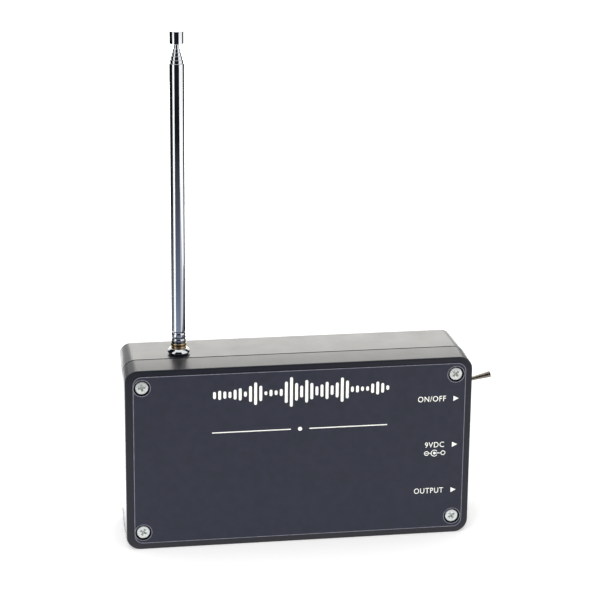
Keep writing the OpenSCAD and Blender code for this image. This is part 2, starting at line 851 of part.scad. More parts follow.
module switch_tags() {
    color("#cbb98a") on_side(switch_z) for (k = [-1:1])
        translate([k * switch_tag_pitch, 0, -switch_in - switch_deep - switch_tag_len]) difference() {
            translate([-switch_tag_t / 2, -switch_tag_w / 2, 0])
                cube([switch_tag_t, switch_tag_w, switch_tag_len]);
            translate([-switch_tag_t, 0, switch_tag_w / 2]) rotate([0, 90, 0])
                cylinder(h = 2 * switch_tag_t, d = switch_tag_hole);
        }
}

// ---- Power inlet ----

module inlet_body() {
    color("#202022") on_side(inlet_z) difference() {
        union() {
            translate([0, 0, -inlet_len]) cylinder(h = inlet_len + e, d = inlet_d);
            cylinder(h = inlet_flange_t, d = inlet_flange_d);
        }
        translate([0, 0, inlet_flange_t - inlet_depth]) cylinder(h = inlet_depth + 1, d = inlet_bore);
        translate([0, 0, -inlet_len - 1]) cylinder(h = inlet_len, d = inlet_pin_d + 2 * run_gap);
    }
}

module inlet_nut() {
    color("#202022") on_side(inlet_z)
        hex_nut(inlet_nut_af, inlet_hole_d, -wall - inlet_nut_h, -wall);
}

module inlet_pin() {
    color("#d8d4c4") on_side(inlet_z) {
        translate([0, 0, -inlet_len]) cylinder(h = inlet_len + pin_z, d = inlet_pin_d);
        translate([0, 0, pin_z]) sphere(d = inlet_pin_d);
    }
}

module inlet_tags() {
    color("#cbb98a") on_side(inlet_z) for (k = [-1, 1])
        translate([k * inlet_tag_x, 0, -inlet_len - inlet_tag_len]) difference() {
            translate([-inlet_tag_t / 2, -inlet_tag_w / 2, 0])
                cube([inlet_tag_t, inlet_tag_w, inlet_tag_len]);
            translate([-inlet_tag_t, 0, inlet_tag_w / 2]) rotate([0, 90, 0])
                cylinder(h = 2 * inlet_tag_t, d = inlet_tag_hole);
        }
}

// ---- Output socket ----

// Threaded sleeve on a plate whose leg runs into the case
module socket_frame() {
    color("#c3c6c8") on_side(socket_z) difference() {
        union() {
            translate([0, 0, -socket_plate_in - socket_plate_t - 1])
                cylinder(h = socket_plate_in + socket_plate_t + 1 + sleeve_out, d = sleeve_d);
            translate([-socket_plate_w / 2, -socket_leg_y, -socket_plate_in - socket_plate_t])
                cube([socket_plate_w, 2 * socket_leg_y + socket_plate_t, socket_plate_t]);
            translate([-socket_plate_w / 2, socket_leg_y, -socket_end])
                cube([socket_plate_w, socket_plate_t, socket_end - socket_plate_in]);
        }
        translate([0, 0, -socket_end]) cylinder(h = socket_end + sleeve_out + 1, d = sleeve_bore);
    }
}

module socket_face_washer() {
    color("#c3c6c8") on_side(socket_z) ring(socket_washer_d, sleeve_hole_d, 0, socket_washer_t);
}

module socket_face_nut() {
    color("#c3c6c8") on_side(socket_z)
        hex_nut(socket_nut_af, sleeve_hole_d, socket_washer_t, socket_washer_t + socket_nut_h);
}

module socket_lock_washer() {
    color("#a9acae") on_side(socket_z) ring(socket_washer_d, sleeve_hole_d, -socket_plate_in, -wall);
}

// Fibre plate between the frame's leg and the tip spring
module socket_insulator() {
    color("#8a5a33") on_side(socket_z)
        translate([-socket_plate_w / 2, socket_leg_y - insulator_t, -socket_end])
            cube([socket_plate_w, insulator_t, insulator_len]);
}

// Strip that springs in towards the tip of the plug
module socket_spring() {
    y_a = socket_leg_y - insulator_t - spring_t;
    bend = y_a - sleeve_bore / 2 - spring_clear;
    tip_z = -socket_end - spring_reach;
    color("#c9b274") on_side(socket_z) translate([spring_w / 2, 0, 0]) rotate([0, -90, 0])
        linear_extrude(spring_w) polygon([
            [-socket_end + insulator_len, y_a + spring_t],
            [-socket_end + insulator_len, y_a],
            [-socket_end, y_a],
            [tip_z + spring_nose, y_a - bend],
            [tip_z, y_a - bend + spring_lift],
            [tip_z, y_a - bend + spring_lift + spring_t],
            [tip_z + spring_nose, y_a - bend + spring_t],
            [-socket_end, y_a + spring_t]
        ]);
}

// Earth tag on the frame's leg and signal tag on the spring
module socket_tags() {
    color("#cbb98a") on_side(socket_z) {
        translate([socket_tag_x - socket_tag_w / 2, socket_leg_y, -socket_end - socket_tag_len])
            cube([socket_tag_w, socket_tag_t, socket_tag_len]);
        translate([
            -socket_tag_x - socket_tag_w / 2,
            socket_leg_y - insulator_t - socket_tag_t,
            -socket_end - socket_tag_len
        ]) cube([socket_tag_w, socket_tag_t, socket_tag_len + socket_tag_lap]);
    }
}

// ---- Circuit board ----

module circuit_board() {
    color("#2f6b3c") translate([board_x, board_face, board_z]) rotate([-90, 0, 0]) difference() {
        translate([-board_w / 2, -board_h / 2, 0]) cube([board_w, board_h, board_t]);
        for (p = post_places) translate([p[0], p[1], -1]) cylinder(h = board_t + 2, d = board_hole_d);
    }
}

module board_screws() {
    color("#c4c6c8") for (p = post_places) on_board(p) difference() {
        union() {
            cylinder(h = board_head_h, d = board_head_d);
            translate([0, 0, -board_screw_len]) cylinder(h = board_screw_len + e, d = board_screw_d);
        }
        for (turn = [0, 90]) rotate(turn)
            translate([-board_recess[0] / 2, -board_recess[1] / 2, board_head_h - board_recess[2]])
                cube([board_recess[0], board_recess[1], board_head_h]);
    }
}

module chip_sockets() {
    socket_w = row_pitch + 2 * leg_w;
    inner_w = socket_w - 2 * socket_side;
    color("#26262a") for (p = chip_places) on_board(p) difference() {
        translate([-chip_len / 2, -socket_w / 2, 0]) cube([chip_len, socket_w, socket_t]);
        translate([-chip_len / 2 + socket_border, -inner_w / 2, -1])
            cube([chip_len - 2 * socket_border, inner_w, socket_t + 2]);
    }
}

// Chip bodies with the notch that marks pin 1
module chips() {
    color("#17171a") for (p = chip_places) on_board(p) difference() {
        translate([-chip_len / 2, -chip_w / 2, socket_t + chip_rise]) cube([chip_len, chip_w, chip_t]);
        translate([-chip_len / 2, 0, socket_t + chip_rise + chip_t / 2]) cylinder(h = chip_t, r = notch_r);
    }
}

// Legs that bend down from each chip into its socket
module chip_legs() {
    leg_z = socket_t + chip_rise + chip_t / 2;
    color("#c0c3c5") for (p = chip_places, k = [0:6], side = [-1, 1])
        on_board(p) translate([(k - 3) * leg_pitch, 0, 0]) scale([1, side, 1]) {
            translate([-leg_w / 2, chip_w / 2, leg_z - leg_t])
                cube([leg_w, row_pitch / 2 - chip_w / 2 + leg_t, leg_t]);
            translate([-leg_w / 2, row_pitch / 2, socket_t]) cube([leg_w, leg_t, leg_z - socket_t]);
        }
}

// Screened tuning coils, open on top over the core
module coil_cans() {
    color("#c2c5c6") for (p = can_places) on_board(p) difference() {
        translate([-can_w / 2, -can_w / 2, 0]) cube([can_w, can_w, can_h]);
        translate([0, 0, can_h - core_h - 1]) cylinder(h = core_h + 2, d = core_d + 2 * run_gap);
    }
}

// Ferrite core with a screwdriver slot
module tuning_core(k) {
    color("#8e4a3a") on_board(can_places[k]) translate([0, 0, can_h - core_h - core_sink]) difference() {
        cylinder(h = core_h, d = core_d);
        translate([-core_slot[0] / 2, -core_slot[1] / 2, core_h - core_slot[2]])
            cube([core_slot[0], core_slot[1], core_h]);
    }
}

module tuning_core_left() { tuning_core(0); }
module tuning_core_right() { tuning_core(1); }

module electrolytic_capacitors() {
    color("#27366b") for (c = electrolytics) on_board(c) difference() {
        cylinder(h = c[3], d = c[2]);
        translate([0, 0, groove_z]) rotate_extrude()
            translate([c[2] / 2 + groove_r - groove_deep, 0]) circle(groove_r);
    }
}

module film_capacitors() {
    color("#a8352c") for (p = film_places)
        on_board(p) translate([-film_len / 2, -film_t / 2, 0]) cube([film_len, film_t, film_h]);
}

module ceramic_capacitors() {
    color("#c58a3c") for (p = ceramic_places) on_board(p)
        translate([0, disc_t / 2, disc_z]) rotate([90, 0, 0]) cylinder(h = disc_t, d = disc_d);
}

module resistors() {
    color("#c9b48c") for (p = resistor_places) on_board(p)
        translate([-resistor_len / 2, 0, resistor_z]) rotate([0, 90, 0])
            cylinder(h = resistor_len, d = resistor_d);
}

// Round-backed transistor cases with a flat front
module transistors() {
    color("#1d1d20") for (p = transistor_places) on_board(p) translate([0, 0, case_z]) difference() {
        cylinder(h = case_d, d = case_d);
        translate([-case_d, -case_d - case_flat, -1]) cube([2 * case_d, case_d, case_d + 2]);
    }
}

// Bare wire ends of the resistors, disc capacitors and transistors
module component_leads() {
    color("#c0c3c5") {
        for (p = resistor_places, side = [-1, 1]) on_board(p) {
            translate([side * resistor_reach, 0, 0]) cylinder(h = resistor_z, d = lead_d);
            translate([side * resistor_reach, 0, resistor_z]) sphere(d = lead_d);
            translate([side > 0 ? resistor_len / 2 : -resistor_reach, 0, resistor_z]) rotate([0, 90, 0])
                cylinder(h = resistor_reach - resistor_len / 2, d = lead_d);
        }
        for (p = ceramic_places, side = [-1, 1]) on_board(p)
            translate([side * disc_lead_x, 0, 0])
                cylinder(h = disc_z - disc_d / 2 + disc_lead_in, d = lead_d);
        for (p = transistor_places, k = [-1:1]) on_board(p)
            translate([k * case_lead_pitch, case_lead_y, 0]) cylinder(h = case_z, d = case_lead_d);
    }
}

module trimmer_body() {
    color("#2c5f9e") on_board(trimmer_place) difference() {
        translate([-trimmer_w / 2, -trimmer_w / 2, 0]) cube([trimmer_w, trimmer_w, trimmer_h]);
        translate([0, 0, trimmer_h - rotor_h]) cylinder(h = rotor_h + 1, d = rotor_d + 2 * run_gap);
    }
}

module trimmer_rotor() {
    rotor_z = trimmer_h - rotor_h + rotor_rise;
    color("#e6e2d6") on_board(trimmer_place) translate([0, 0, rotor_z]) difference() {
        cylinder(h = rotor_h, d = rotor_d);
        for (turn = [0, 90])
            rotate(turn) translate([-rotor_slot[0] / 2, -rotor_slot[1] / 2, rotor_h - rotor_slot[2]])
                cube([rotor_slot[0], rotor_slot[1], rotor_h]);
    }
}

// ---- Battery ----

module battery() {
    color("#2b2c30") translate([battery_x, battery_front, battery_z])
        cube([battery_len, battery_t, battery_w]);
}

// Stud terminal above, cup terminal below
module battery_terminals() {
    color("#c9ccce") translate([battery_end, battery_mid_y, battery_mid_z]) rotate([0, 90, 0]) {
        translate([-terminal_pitch / 2, 0, 0]) cylinder(h = terminal_h, d = stud_terminal_d);
        translate([terminal_pitch / 2, 0, 0]) cylinder(h = terminal_h, d = cup_terminal_d, $fn = 6);
    }
}

// Cover with a pocket over each terminal
module battery_snap() {
    color("#1c1c1f") translate([battery_end + rest_gap, battery_mid_y, battery_mid_z]) rotate([0, 90, 0])
        difference() {
            translate([-snap_len / 2, -snap_w / 2, 0]) cube([snap_len, snap_w, snap_t]);
            for (side = [-1, 1]) translate([side * terminal_pitch / 2, 0, -1])
                cylinder(h = 1 + terminal_h, d = cup_terminal_d + 2 * screw_gap);
        }
}

// ---- Wires inside the case ----

// Points in front of the board, measured inwards from its left, right or lower edge
function from_left(p) = [board_x - board_w / 2 + p[0], board_face - p[2], board_z + p[1]];
function from_right(p) = [board_x + board_w / 2 - p[0], board_face - p[2], board_z + p[1]];
function from_below(p) = [board_x + p[0], board_face - p[2], board_z - board_h / 2 + p[1]];

module antenna_wire() {
    a = [antenna_x + tag_tail - tag_hole_inset, antenna_y, roof_in - tag_t - wire_d / 2 - wire_end];
    color("#d8d4c8") wire([a, a + antenna_bend, from_left(antenna_pads[0]), from_left(antenna_pads[1])]);
}

// Red lead from the upper terminal, black lead from the lower one
module battery_wires() {
    a = [battery_end + rest_gap + snap_t + wire_end, battery_mid_y + snap_wire_y, battery_mid_z];
    for (k = [0, 1]) {
        lead = a + [0, 0, (1 - 2 * k) * snap_wire_z];
        color(k == 0 ? "#b3241f" : "#18181a")
            wire([lead, lead + snap_bends[k], from_below(snap_pads[k][0]), from_below(snap_pads[k][1])]);
    }
}

module switch_wires() {
    for (k = [0, 1]) {
        a = [
            side_x - switch_in - switch_deep - switch_tag_len - wire_end,
            port_y,
            switch_z + k * switch_tag_pitch
        ];
        color(k == 0 ? "#b3241f" : "#c9a227")
            wire([a, a + switch_bend, from_right(switch_pads[k][0]), from_right(switch_pads[k][1])]);
    }
}

module inlet_wires() {
    for (k = [0, 1]) {
        a = [side_x - inlet_len - inlet_tag_len - wire_end, port_y, inlet_z + (1 - 2 * k) * inlet_tag_x];
        color(k == 0 ? "#b3241f" : "#18181a")
            wire([a, a + inlet_bend, from_right(inlet_pads[k][0]), from_right(inlet_pads[k][1])]);
    }
}

module output_wires() {
    for (k = [0, 1]) {
        a = [
            side_x - socket_end - socket_tag_len - wire_end,
            port_y + socket_leg_y + socket_tag_t / 2 - k * (insulator_t + socket_tag_t),
            socket_z - (1 - 2 * k) * socket_tag_x
        ];
        color(k == 0 ? "#18181a" : "#d8d4c8")
            wire([a, a + output_bend, from_below(output_pads[k][0]), from_below(output_pads[k][1])]);
    }
}

base_shell();
lid_shell();
label_plate();
lid_screws();
battery_pad();
antenna_collar();
antenna_foot();
antenna_tube_1();
antenna_tube_2();
antenna_tube_3();
antenna_tube_4();
antenna_tube_5();
antenna_rod();
antenna_tip();
antenna_tag();
antenna_washer();
antenna_nut();
switch_body();
switch_bushing();
switch_lever();
switch_face_washer();
switch_face_nut();
switch_lock_washer();
switch_back_nut();
switch_tags();
inlet_body();
inlet_nut();
inlet_pin();
inlet_tags();
socket_frame();
socket_face_washer();
socket_face_nut();
socket_lock_washer();
socket_insulator();
socket_spring();
socket_tags();
circuit_board();
board_screws();
chip_sockets();
chips();
chip_legs();
coil_cans();
tuning_core_left();
tuning_core_right();
electrolytic_capacitors();
film_capacitors();
ceramic_capacitors();
resistors();
transistors();
component_leads();
trimmer_body();
trimmer_rotor();
battery();
battery_terminals();
battery_snap();
antenna_wire();
battery_wires();
switch_wires();
inlet_wires();
output_wires();
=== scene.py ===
import json
import math

import bmesh
import bpy
import numpy as np
from mathutils import Matrix, Vector


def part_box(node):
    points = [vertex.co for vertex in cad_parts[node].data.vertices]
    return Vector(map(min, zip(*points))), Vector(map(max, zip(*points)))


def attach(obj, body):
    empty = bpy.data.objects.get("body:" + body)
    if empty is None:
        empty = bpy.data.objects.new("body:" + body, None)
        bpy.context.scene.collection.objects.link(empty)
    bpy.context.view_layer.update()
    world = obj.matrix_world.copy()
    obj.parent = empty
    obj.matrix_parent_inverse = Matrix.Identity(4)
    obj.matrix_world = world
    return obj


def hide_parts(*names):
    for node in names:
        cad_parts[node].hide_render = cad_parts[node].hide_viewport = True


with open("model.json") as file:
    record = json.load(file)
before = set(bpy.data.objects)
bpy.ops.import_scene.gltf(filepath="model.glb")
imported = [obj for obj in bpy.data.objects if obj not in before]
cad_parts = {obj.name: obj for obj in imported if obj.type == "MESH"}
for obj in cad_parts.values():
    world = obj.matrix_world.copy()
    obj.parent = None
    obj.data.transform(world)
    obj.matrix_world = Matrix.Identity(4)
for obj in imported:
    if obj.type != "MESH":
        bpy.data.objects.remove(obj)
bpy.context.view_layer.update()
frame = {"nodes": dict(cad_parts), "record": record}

mm = 0.001
fullTurn = 2 * math.pi
print("frame loaded:", len(frame["nodes"]), "nodes")


def addObject(name, data):
    # a new object, linked to the scene
    made = bpy.data.objects.new(name, data)
    bpy.context.scene.collection.objects.link(made)
    return made


# Camera, fitted to the photograph's edges: place in mm, and the directions of its right, up and view axes
camera = {
    "place": (-148.25, -932.15, 415.22),
    "right": (0.98763, -0.15651, 0.00978),
    "up": (0.03982, 0.31062, 0.94970),
    "forward": (0.15168, 0.93756, -0.31301),
    "lens": 138.8,
    "sensor": 36,
    "near": 0.05,     # it sees from here on, in metres
    "far": 20,
}


def makeCamera():
    data = bpy.data.cameras.new("camera")
    data.lens = camera["lens"]
    data.sensor_width = camera["sensor"]
    data.clip_start = camera["near"]
    data.clip_end = camera["far"]
    made = addObject("camera", data)
    axes = np.array([camera["right"], camera["up"], -np.array(camera["forward"])]).T
    turn = Matrix(axes.tolist()).to_4x4()
    made.matrix_world = Matrix.Translation(Vector(camera["place"]) * mm) @ turn
    bpy.context.scene.camera = made


makeCamera()
bpy.context.scene.view_settings.view_transform = "Standard"


def linear(code):
    # sRGB hex to linear colour
    rgb = np.array([int(code[i:i + 2], 16) for i in (1, 3, 5)]) / 255
    low, high = rgb / 12.92, ((rgb + 0.055) / 1.055) ** 2.4
    return tuple(np.where(rgb <= 0.04045, low, high)) + (1.0,)


def addNode(tree, kind, settings=None, links=None, stops=(), between="LINEAR"):
    # adds a node, sets its fields or inputs, links its inputs from other sockets, and gives a colour ramp its
    # stops, each a place and a hex colour
    node = tree.nodes.new(kind)
    for key, value in (settings or {}).items():
        if isinstance(key, str) and hasattr(node, key):
            setattr(node, key, value)
        else:
            node.inputs[key].default_value = value
    for key, socket in (links or {}).items():
        tree.links.new(socket, node.inputs[key])
    if stops:
        node.color_ramp.interpolation = between
        while len(node.color_ramp.elements) < len(stops):
            node.color_ramp.elements.new(0.5)
        for element, (place, colour) in zip(node.color_ramp.elements, stops):
            element.position = place
            element.color = linear(colour)
    return node


def emptyMaterial(name):
    # a new material and its node tree, with no node in it
    mat = bpy.data.materials.new(name)
    mat.use_nodes = True
    mat.node_tree.nodes.clear()
    return mat, mat.node_tree


def finish(name, spec):
    # a surface with mottled colour, mottled roughness and a bumped grain, all on object coordinates:
    # spec gives hex colours a and b, size of the mottle and of the grain in mm, and the grain's height in mm
    mat, tree = emptyMaterial(name)
    place = addNode(tree, "ShaderNodeTexCoord").outputs["Object"]
    if "stretch" in spec:
        place = addNode(tree, "ShaderNodeMapping", {"Scale": spec["stretch"]}, {"Vector": place}).outputs[0]
    mottle, grain = [
        addNode(
            tree, "ShaderNodeTexNoise",
            {"Scale": 1 / (spec[size] * mm), "Detail": detail, "Roughness": roughness}, {"Vector": place},
        ).outputs["Fac"]
        for size, detail, roughness in (("mottle", 3.0, 0.55), ("grain", 2.0, 0.6))
    ]
    stops = [(0.35, spec["a"]), (0.65, spec["b"])]
    colour = addNode(tree, "ShaderNodeValToRGB", links={"Fac": mottle}, stops=stops).outputs["Color"]
    low, high = spec["rough"]
    mixed = addNode(tree, "ShaderNodeMath", {"operation": "ADD"}, {0: mottle, 1: grain}).outputs[0]
    rough = addNode(
        tree, "ShaderNodeMapRange",
        {"From Min": 0.7, "From Max": 1.3, "To Min": low, "To Max": high}, {"Value": mixed},
    ).outputs[0]
    bump = addNode(
        tree, "ShaderNodeBump", {"Strength": 1.0, "Distance": spec["height"] * mm}, {"Height": grain},
    ).outputs[0]
    shader = addNode(
        tree, "ShaderNodeBsdfPrincipled",
        {"Metallic": spec.get("metal", 0.0), **spec.get("sockets", {})},
        {"Base Color": colour, "Roughness": rough, "Normal": bump},
    )
    addNode(tree, "ShaderNodeOutputMaterial", links={"Surface": shader.outputs[0]})
    return mat, {"tree": tree, "place": place, "shader": shader}


def setColour(parts, socket):
    parts["tree"].links.new(socket, parts["shader"].inputs["Base Color"])


# Black ABS, injection moulded in a satin mould: soft grey reflections that sharpen towards grazing
mouldedAbs, _ = finish("mouldedAbs", {
    "a": "#10121b", "b": "#15161f", "mottle": 9, "grain": 0.35, "height": 0.006, "rough": (0.30, 0.36),
    "sockets": {"IOR": 1.53},
})
# Polyester label film, screen printed in matt slate ink: flat colour with a faint ink mottle
slateInk, _ = finish("slateInk", {
    "a": "#232532", "b": "#282a38", "mottle": 3, "grain": 0.3, "height": 0.004, "rough": (0.5, 0.6),
    "sockets": {"IOR": 1.46},
})
# Cut edge of the same film, a thin grey line round the label: its pale grey is partly the film's paler cut
# edge and partly a painted highlight along that edge
filmEdgeHighlight, _ = finish("filmEdgeHighlight", {
    "a": "#6a6a76", "b": "#80808c", "mottle": 2, "grain": 0.2, "height": 0.004, "rough": (0.4, 0.55),
})
# White screen ink, a little uneven in cover
whiteInk, _ = finish("whiteInk", {
    "a": "#f4f5ee", "b": "#fafaf2", "mottle": 1.5, "grain": 0.2, "height": 0.003, "rough": (0.5, 0.6),
})
# Chrome plate on drawn tube: a cool mirror with faint draw lines along it and finger haze
chromePlate, _ = finish("chromePlate", {
    "a": "#dde1e5", "b": "#e6e8ea", "mottle": 6, "grain": 0.25, "height": 0.0006, "rough": (0.04, 0.09),
    "metal": 1.0, "stretch": (1, 1, 0.04),
})
# Turned brass, lightly lacquered: warm, with fine turning rings
turnedBrass, _ = finish("turnedBrass", {
    "a": "#c0a478", "b": "#e6cea6", "mottle": 1.5, "grain": 0.15, "height": 0.004, "rough": (0.14, 0.24),
    "metal": 1.0, "stretch": (0.3, 0.3, 3),
})
# Bright zinc plate on pressed steel: pale, slightly milky, specks in the recess
zincPlate, _ = finish("zincPlate", {
    "a": "#e2e5df", "b": "#f8faf5", "mottle": 0.7, "grain": 0.15, "height": 0.008, "rough": (0.34, 0.46),
    "metal": 0.75,
})
# Nickel plate on turned brass: warm grey with turning marks
nickelPlate, _ = finish("nickelPlate", {
    "a": "#857d71", "b": "#aaa294", "mottle": 1.2, "grain": 0.12, "height": 0.003, "rough": (0.16, 0.3),
    "metal": 1.0, "stretch": (3, 1, 1),
})
# Tinned brass solder tags: dull yellow-grey
tinnedBrass, _ = finish("tinnedBrass", {
    "a": "#b5a067", "b": "#cfc7a4", "mottle": 1.2, "grain": 0.2, "height": 0.006, "rough": (0.3, 0.45),
    "metal": 1.0,
})
# Moulded phenolic switch housing: dark red-brown with fine filler specks
phenolic, _ = finish("phenolic", {
    "a": "#5e211b", "b": "#74302a", "mottle": 0.6, "grain": 0.2, "height": 0.006, "rough": (0.35, 0.5),
})
# Glossy black nylon of the power inlet
blackNylon, _ = finish("blackNylon", {
    "a": "#19191b", "b": "#212124", "mottle": 4, "grain": 0.25, "height": 0.003, "rough": (0.18, 0.3),
})
# Pressed fibre insulator: brown card with short fibres
pressedFibre, _ = finish("pressedFibre", {
    "a": "#74482a", "b": "#94653c", "mottle": 0.8, "grain": 0.2, "height": 0.01, "rough": (0.6, 0.8),
    "stretch": (1, 1, 4),
})
# Open-cell foam: charcoal, pitted, quite matt
openFoam, _ = finish("openFoam", {
    "a": "#232326", "b": "#48484d", "mottle": 0.7, "grain": 0.45, "height": 0.25, "rough": (0.85, 1.0),
})
# Moulded epoxy of chips and transistors
epoxyBlack, _ = finish("epoxyBlack", {
    "a": "#161618", "b": "#1f1f22", "mottle": 2, "grain": 0.15, "height": 0.008, "rough": (0.45, 0.6),
})
# Drawn tin-plated can
drawnTin, _ = finish("drawnTin", {
    "a": "#b4b8ba", "b": "#cfd2d3", "mottle": 3, "grain": 0.2, "height": 0.003, "rough": (0.25, 0.4),
    "metal": 1.0, "stretch": (1, 0.1, 1),
})
# Painted ferrite core
paintedFerrite, _ = finish("paintedFerrite", {
    "a": "#7a3c30", "b": "#9b5546", "mottle": 0.7, "grain": 0.15, "height": 0.01, "rough": (0.5, 0.7),
})
# Film capacitor in a cast red box
castBox, _ = finish("castBox", {
    "a": "#9d2c24", "b": "#b53a30", "mottle": 2, "grain": 0.2, "height": 0.006, "rough": (0.25, 0.4),
})
# Ceramic disc dipped in ochre resin: glossy and slightly orange-peeled
dippedCeramic, _ = finish("dippedCeramic", {
    "a": "#b9792f", "b": "#cf9047", "mottle": 1, "grain": 0.5, "height": 0.03, "rough": (0.2, 0.35),
})
# Trimmer body and its pale rotor
trimmerNylon, _ = finish("trimmerNylon", {
    "a": "#26548d", "b": "#3163a3", "mottle": 2, "grain": 0.2, "height": 0.004, "rough": (0.25, 0.4),
})
rotorAcetal, _ = finish("rotorAcetal", {
    "a": "#dcd7c8", "b": "#ebe7da", "mottle": 1, "grain": 0.2, "height": 0.004, "rough": (0.35, 0.5),
    "sockets": {"Subsurface Weight": 0.1},
})
# Soft vinyl of the battery snap
softVinyl, _ = finish("softVinyl", {
    "a": "#17171a", "b": "#232327", "mottle": 3, "grain": 0.4, "height": 0.01, "rough": (0.4, 0.55),
})


def wirePvc(name, a, b):
    # PVC insulation, smooth with a soft sheen
    mat, _ = finish(name, {"a": a, "b": b, "mottle": 2, "grain": 0.3, "height": 0.004, "rough": (0.28, 0.4)})
    return mat


# Solder mask over copper: dark green with paler tracks on a 2.54 mm grid
solderMask, parts = finish("solderMask", {
    "a": "#1f5230", "b": "#27613a", "mottle": 6, "grain": 0.15, "height": 0.004, "rough": (0.22, 0.34),
})
turned = addNode(
    parts["tree"], "ShaderNodeMapping", {"Rotation": (math.pi / 2, 0, 0)}, {"Vector": parts["place"]},
).outputs[0]
tracks = addNode(
    parts["tree"], "ShaderNodeTexBrick",
    {
        "Scale": 1 / (2.54 * mm), "Mortar Size": 0.13, "Mortar Smooth": 0.1, "Brick Width": 1.5,
        "Row Height": 1.0,
        "Color1": linear("#1f5230"), "Color2": linear("#255a36"), "Mortar": linear("#3f8552"), "offset": 0.5,
    }, {"Vector": turned},
).outputs["Color"]
setColour(parts, tracks)

# Lacquered resistor: beige with four colour bands across, which repeat with the 12 mm pitch of the bodies
bandedLacquer, parts = finish("bandedLacquer", {
    "a": "#c3ad84", "b": "#d3bf99", "mottle": 1, "grain": 0.3, "height": 0.006, "rough": (0.25, 0.4),
})
along = addNode(parts["tree"], "ShaderNodeSeparateXYZ", links={"Vector": parts["place"]}).outputs["X"]
cycle = addNode(
    parts["tree"], "ShaderNodeMath", {"operation": "MULTIPLY_ADD", 1: 1 / (12 * mm), 2: 19 / 12}, {0: along},
).outputs[0]
phase = addNode(parts["tree"], "ShaderNodeMath", {"operation": "FRACT"}, {0: cycle}).outputs[0]
bands = [
    (0.0, "#c9b48c"), (0.315, "#6b3a1d"), (0.355, "#c9b48c"), (0.41, "#1c1a1a"), (0.45, "#c9b48c"),
    (0.505, "#b5381f"), (0.545, "#c9b48c"), (0.66, "#b08a35"), (0.70, "#c9b48c"),
]
ramp = addNode(parts["tree"], "ShaderNodeValToRGB", None, {"Fac": phase}, bands, "CONSTANT")
setColour(parts, ramp.outputs["Color"])

# Shrink sleeve of the electrolytic capacitors, with their bare aluminium tops
shrinkSleeve, parts = finish("shrinkSleeve", {
    "a": "#202f63", "b": "#2a3b78", "mottle": 2, "grain": 0.3, "height": 0.005, "rough": (0.25, 0.4),
})
normal = addNode(parts["tree"], "ShaderNodeNewGeometry").outputs["Normal"]
facing = addNode(parts["tree"], "ShaderNodeSeparateXYZ", links={"Vector": normal}).outputs["Y"]
share = addNode(
    parts["tree"], "ShaderNodeMapRange", {"From Min": -1.0, "From Max": 1.0}, {"Value": facing},
).outputs[0]
stops = [(0.0, "#b9bcc0"), (0.03, "#233368")]
ramp = addNode(parts["tree"], "ShaderNodeValToRGB", None, {"Fac": share}, stops, "CONSTANT")
setColour(parts, ramp.outputs["Color"])

# Printed metal jacket of the battery: dark body with a plain copper-coloured end band
printedJacket, parts = finish("printedJacket", {
    "a": "#26272b", "b": "#2e2f34", "mottle": 5, "grain": 0.2, "height": 0.003, "rough": (0.22, 0.32),
    "metal": 0.6,
})
along = addNode(parts["tree"], "ShaderNodeSeparateXYZ", links={"Vector": parts["place"]}).outputs["X"]
share = addNode(
    parts["tree"], "ShaderNodeMapRange", {"From Min": -62 * mm, "From Max": -15.6 * mm}, {"Value": along},
).outputs[0]
stops = [(0.0, "#2a2b2f"), (0.68, "#b57a3c")]
ramp = addNode(parts["tree"], "ShaderNodeValToRGB", None, {"Fac": share}, stops, "CONSTANT")
setColour(parts, ramp.outputs["Color"])

slotFinish = {
    "case_black": mouldedAbs, "label_slate": slateInk, "zinc_screw": zincPlate, "foam": openFoam,
    "chrome": chromePlate, "brass": turnedBrass, "tinned": tinnedBrass, "nickel": nickelPlate,
    "phenolic": phenolic, "jack_black": blackNylon, "fibre": pressedFibre, "board": solderMask,
    "chip_black": epoxyBlack, "can_metal": drawnTin, "ferrite": paintedFerrite,
    "capacitor_blue": shrinkSleeve, "capacitor_red": castBox, "capacitor_ochre": dippedCeramic,
    "resistor_beige": bandedLacquer, "trimmer_blue": trimmerNylon, "trimmer_white": rotorAcetal,
    "battery_jacket": printedJacket, "snap_black": softVinyl,
}
wireFinish = {
    "antenna_wire": wirePvc("wireWhite", "#d5d1c4", "#e2dfd4"),
    "battery_wires": wirePvc("wireRed", "#a8241e", "#bb3129"),
    "switch_wires": wirePvc("wireYellow", "#c29a22", "#d4ae38"),
    "inlet_wires": wirePvc("wireBlack", "#17171a", "#222226"),
    "output_wires": wirePvc("wireBlue", "#26457f", "#31549a"),
}
for entry in frame["record"]["subparts"]:
    node = frame["nodes"][entry["node"]]
    mat = wireFinish.get(entry["node"]) or slotFinish[entry["material_slot"]]
    node.data.materials.clear()
    node.data.materials.append(mat)
print("materials on", len(frame["nodes"]), "nodes")


def gridFaces(rows, cols, wrapRows=False, wrapCols=True):
    # the four-sided faces between neighbouring points of a grid of rows by cols
    i, j = np.meshgrid(
        np.arange(rows if wrapRows else rows - 1), np.arange(cols if wrapCols else cols - 1), indexing="ij",
    )
    up, side = (i + 1) % rows, (j + 1) % cols
    return np.stack([i * cols + j, i * cols + side, up * cols + side, up * cols + j], -1).reshape(-1, 4)


def makePiece(name, points, faces, mat, body, slot, nodes=(), sharp=34):
    # a mesh in mm becomes a piece of the object that rides on a body and stands for CAD nodes
    mesh = bpy.data.meshes.new(name)
    mesh.from_pydata((np.asarray(points) * mm).tolist(), [], faces)
    mesh.validate()
    mesh.polygons.foreach_set("use_smooth", np.ones(len(mesh.polygons), bool))
    mesh.set_sharp_from_angle(angle=math.radians(sharp))
    mesh.materials.append(mat)
    piece = addObject(name, mesh)
    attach(piece, body)
    if nodes:
        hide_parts(*nodes)
    return piece


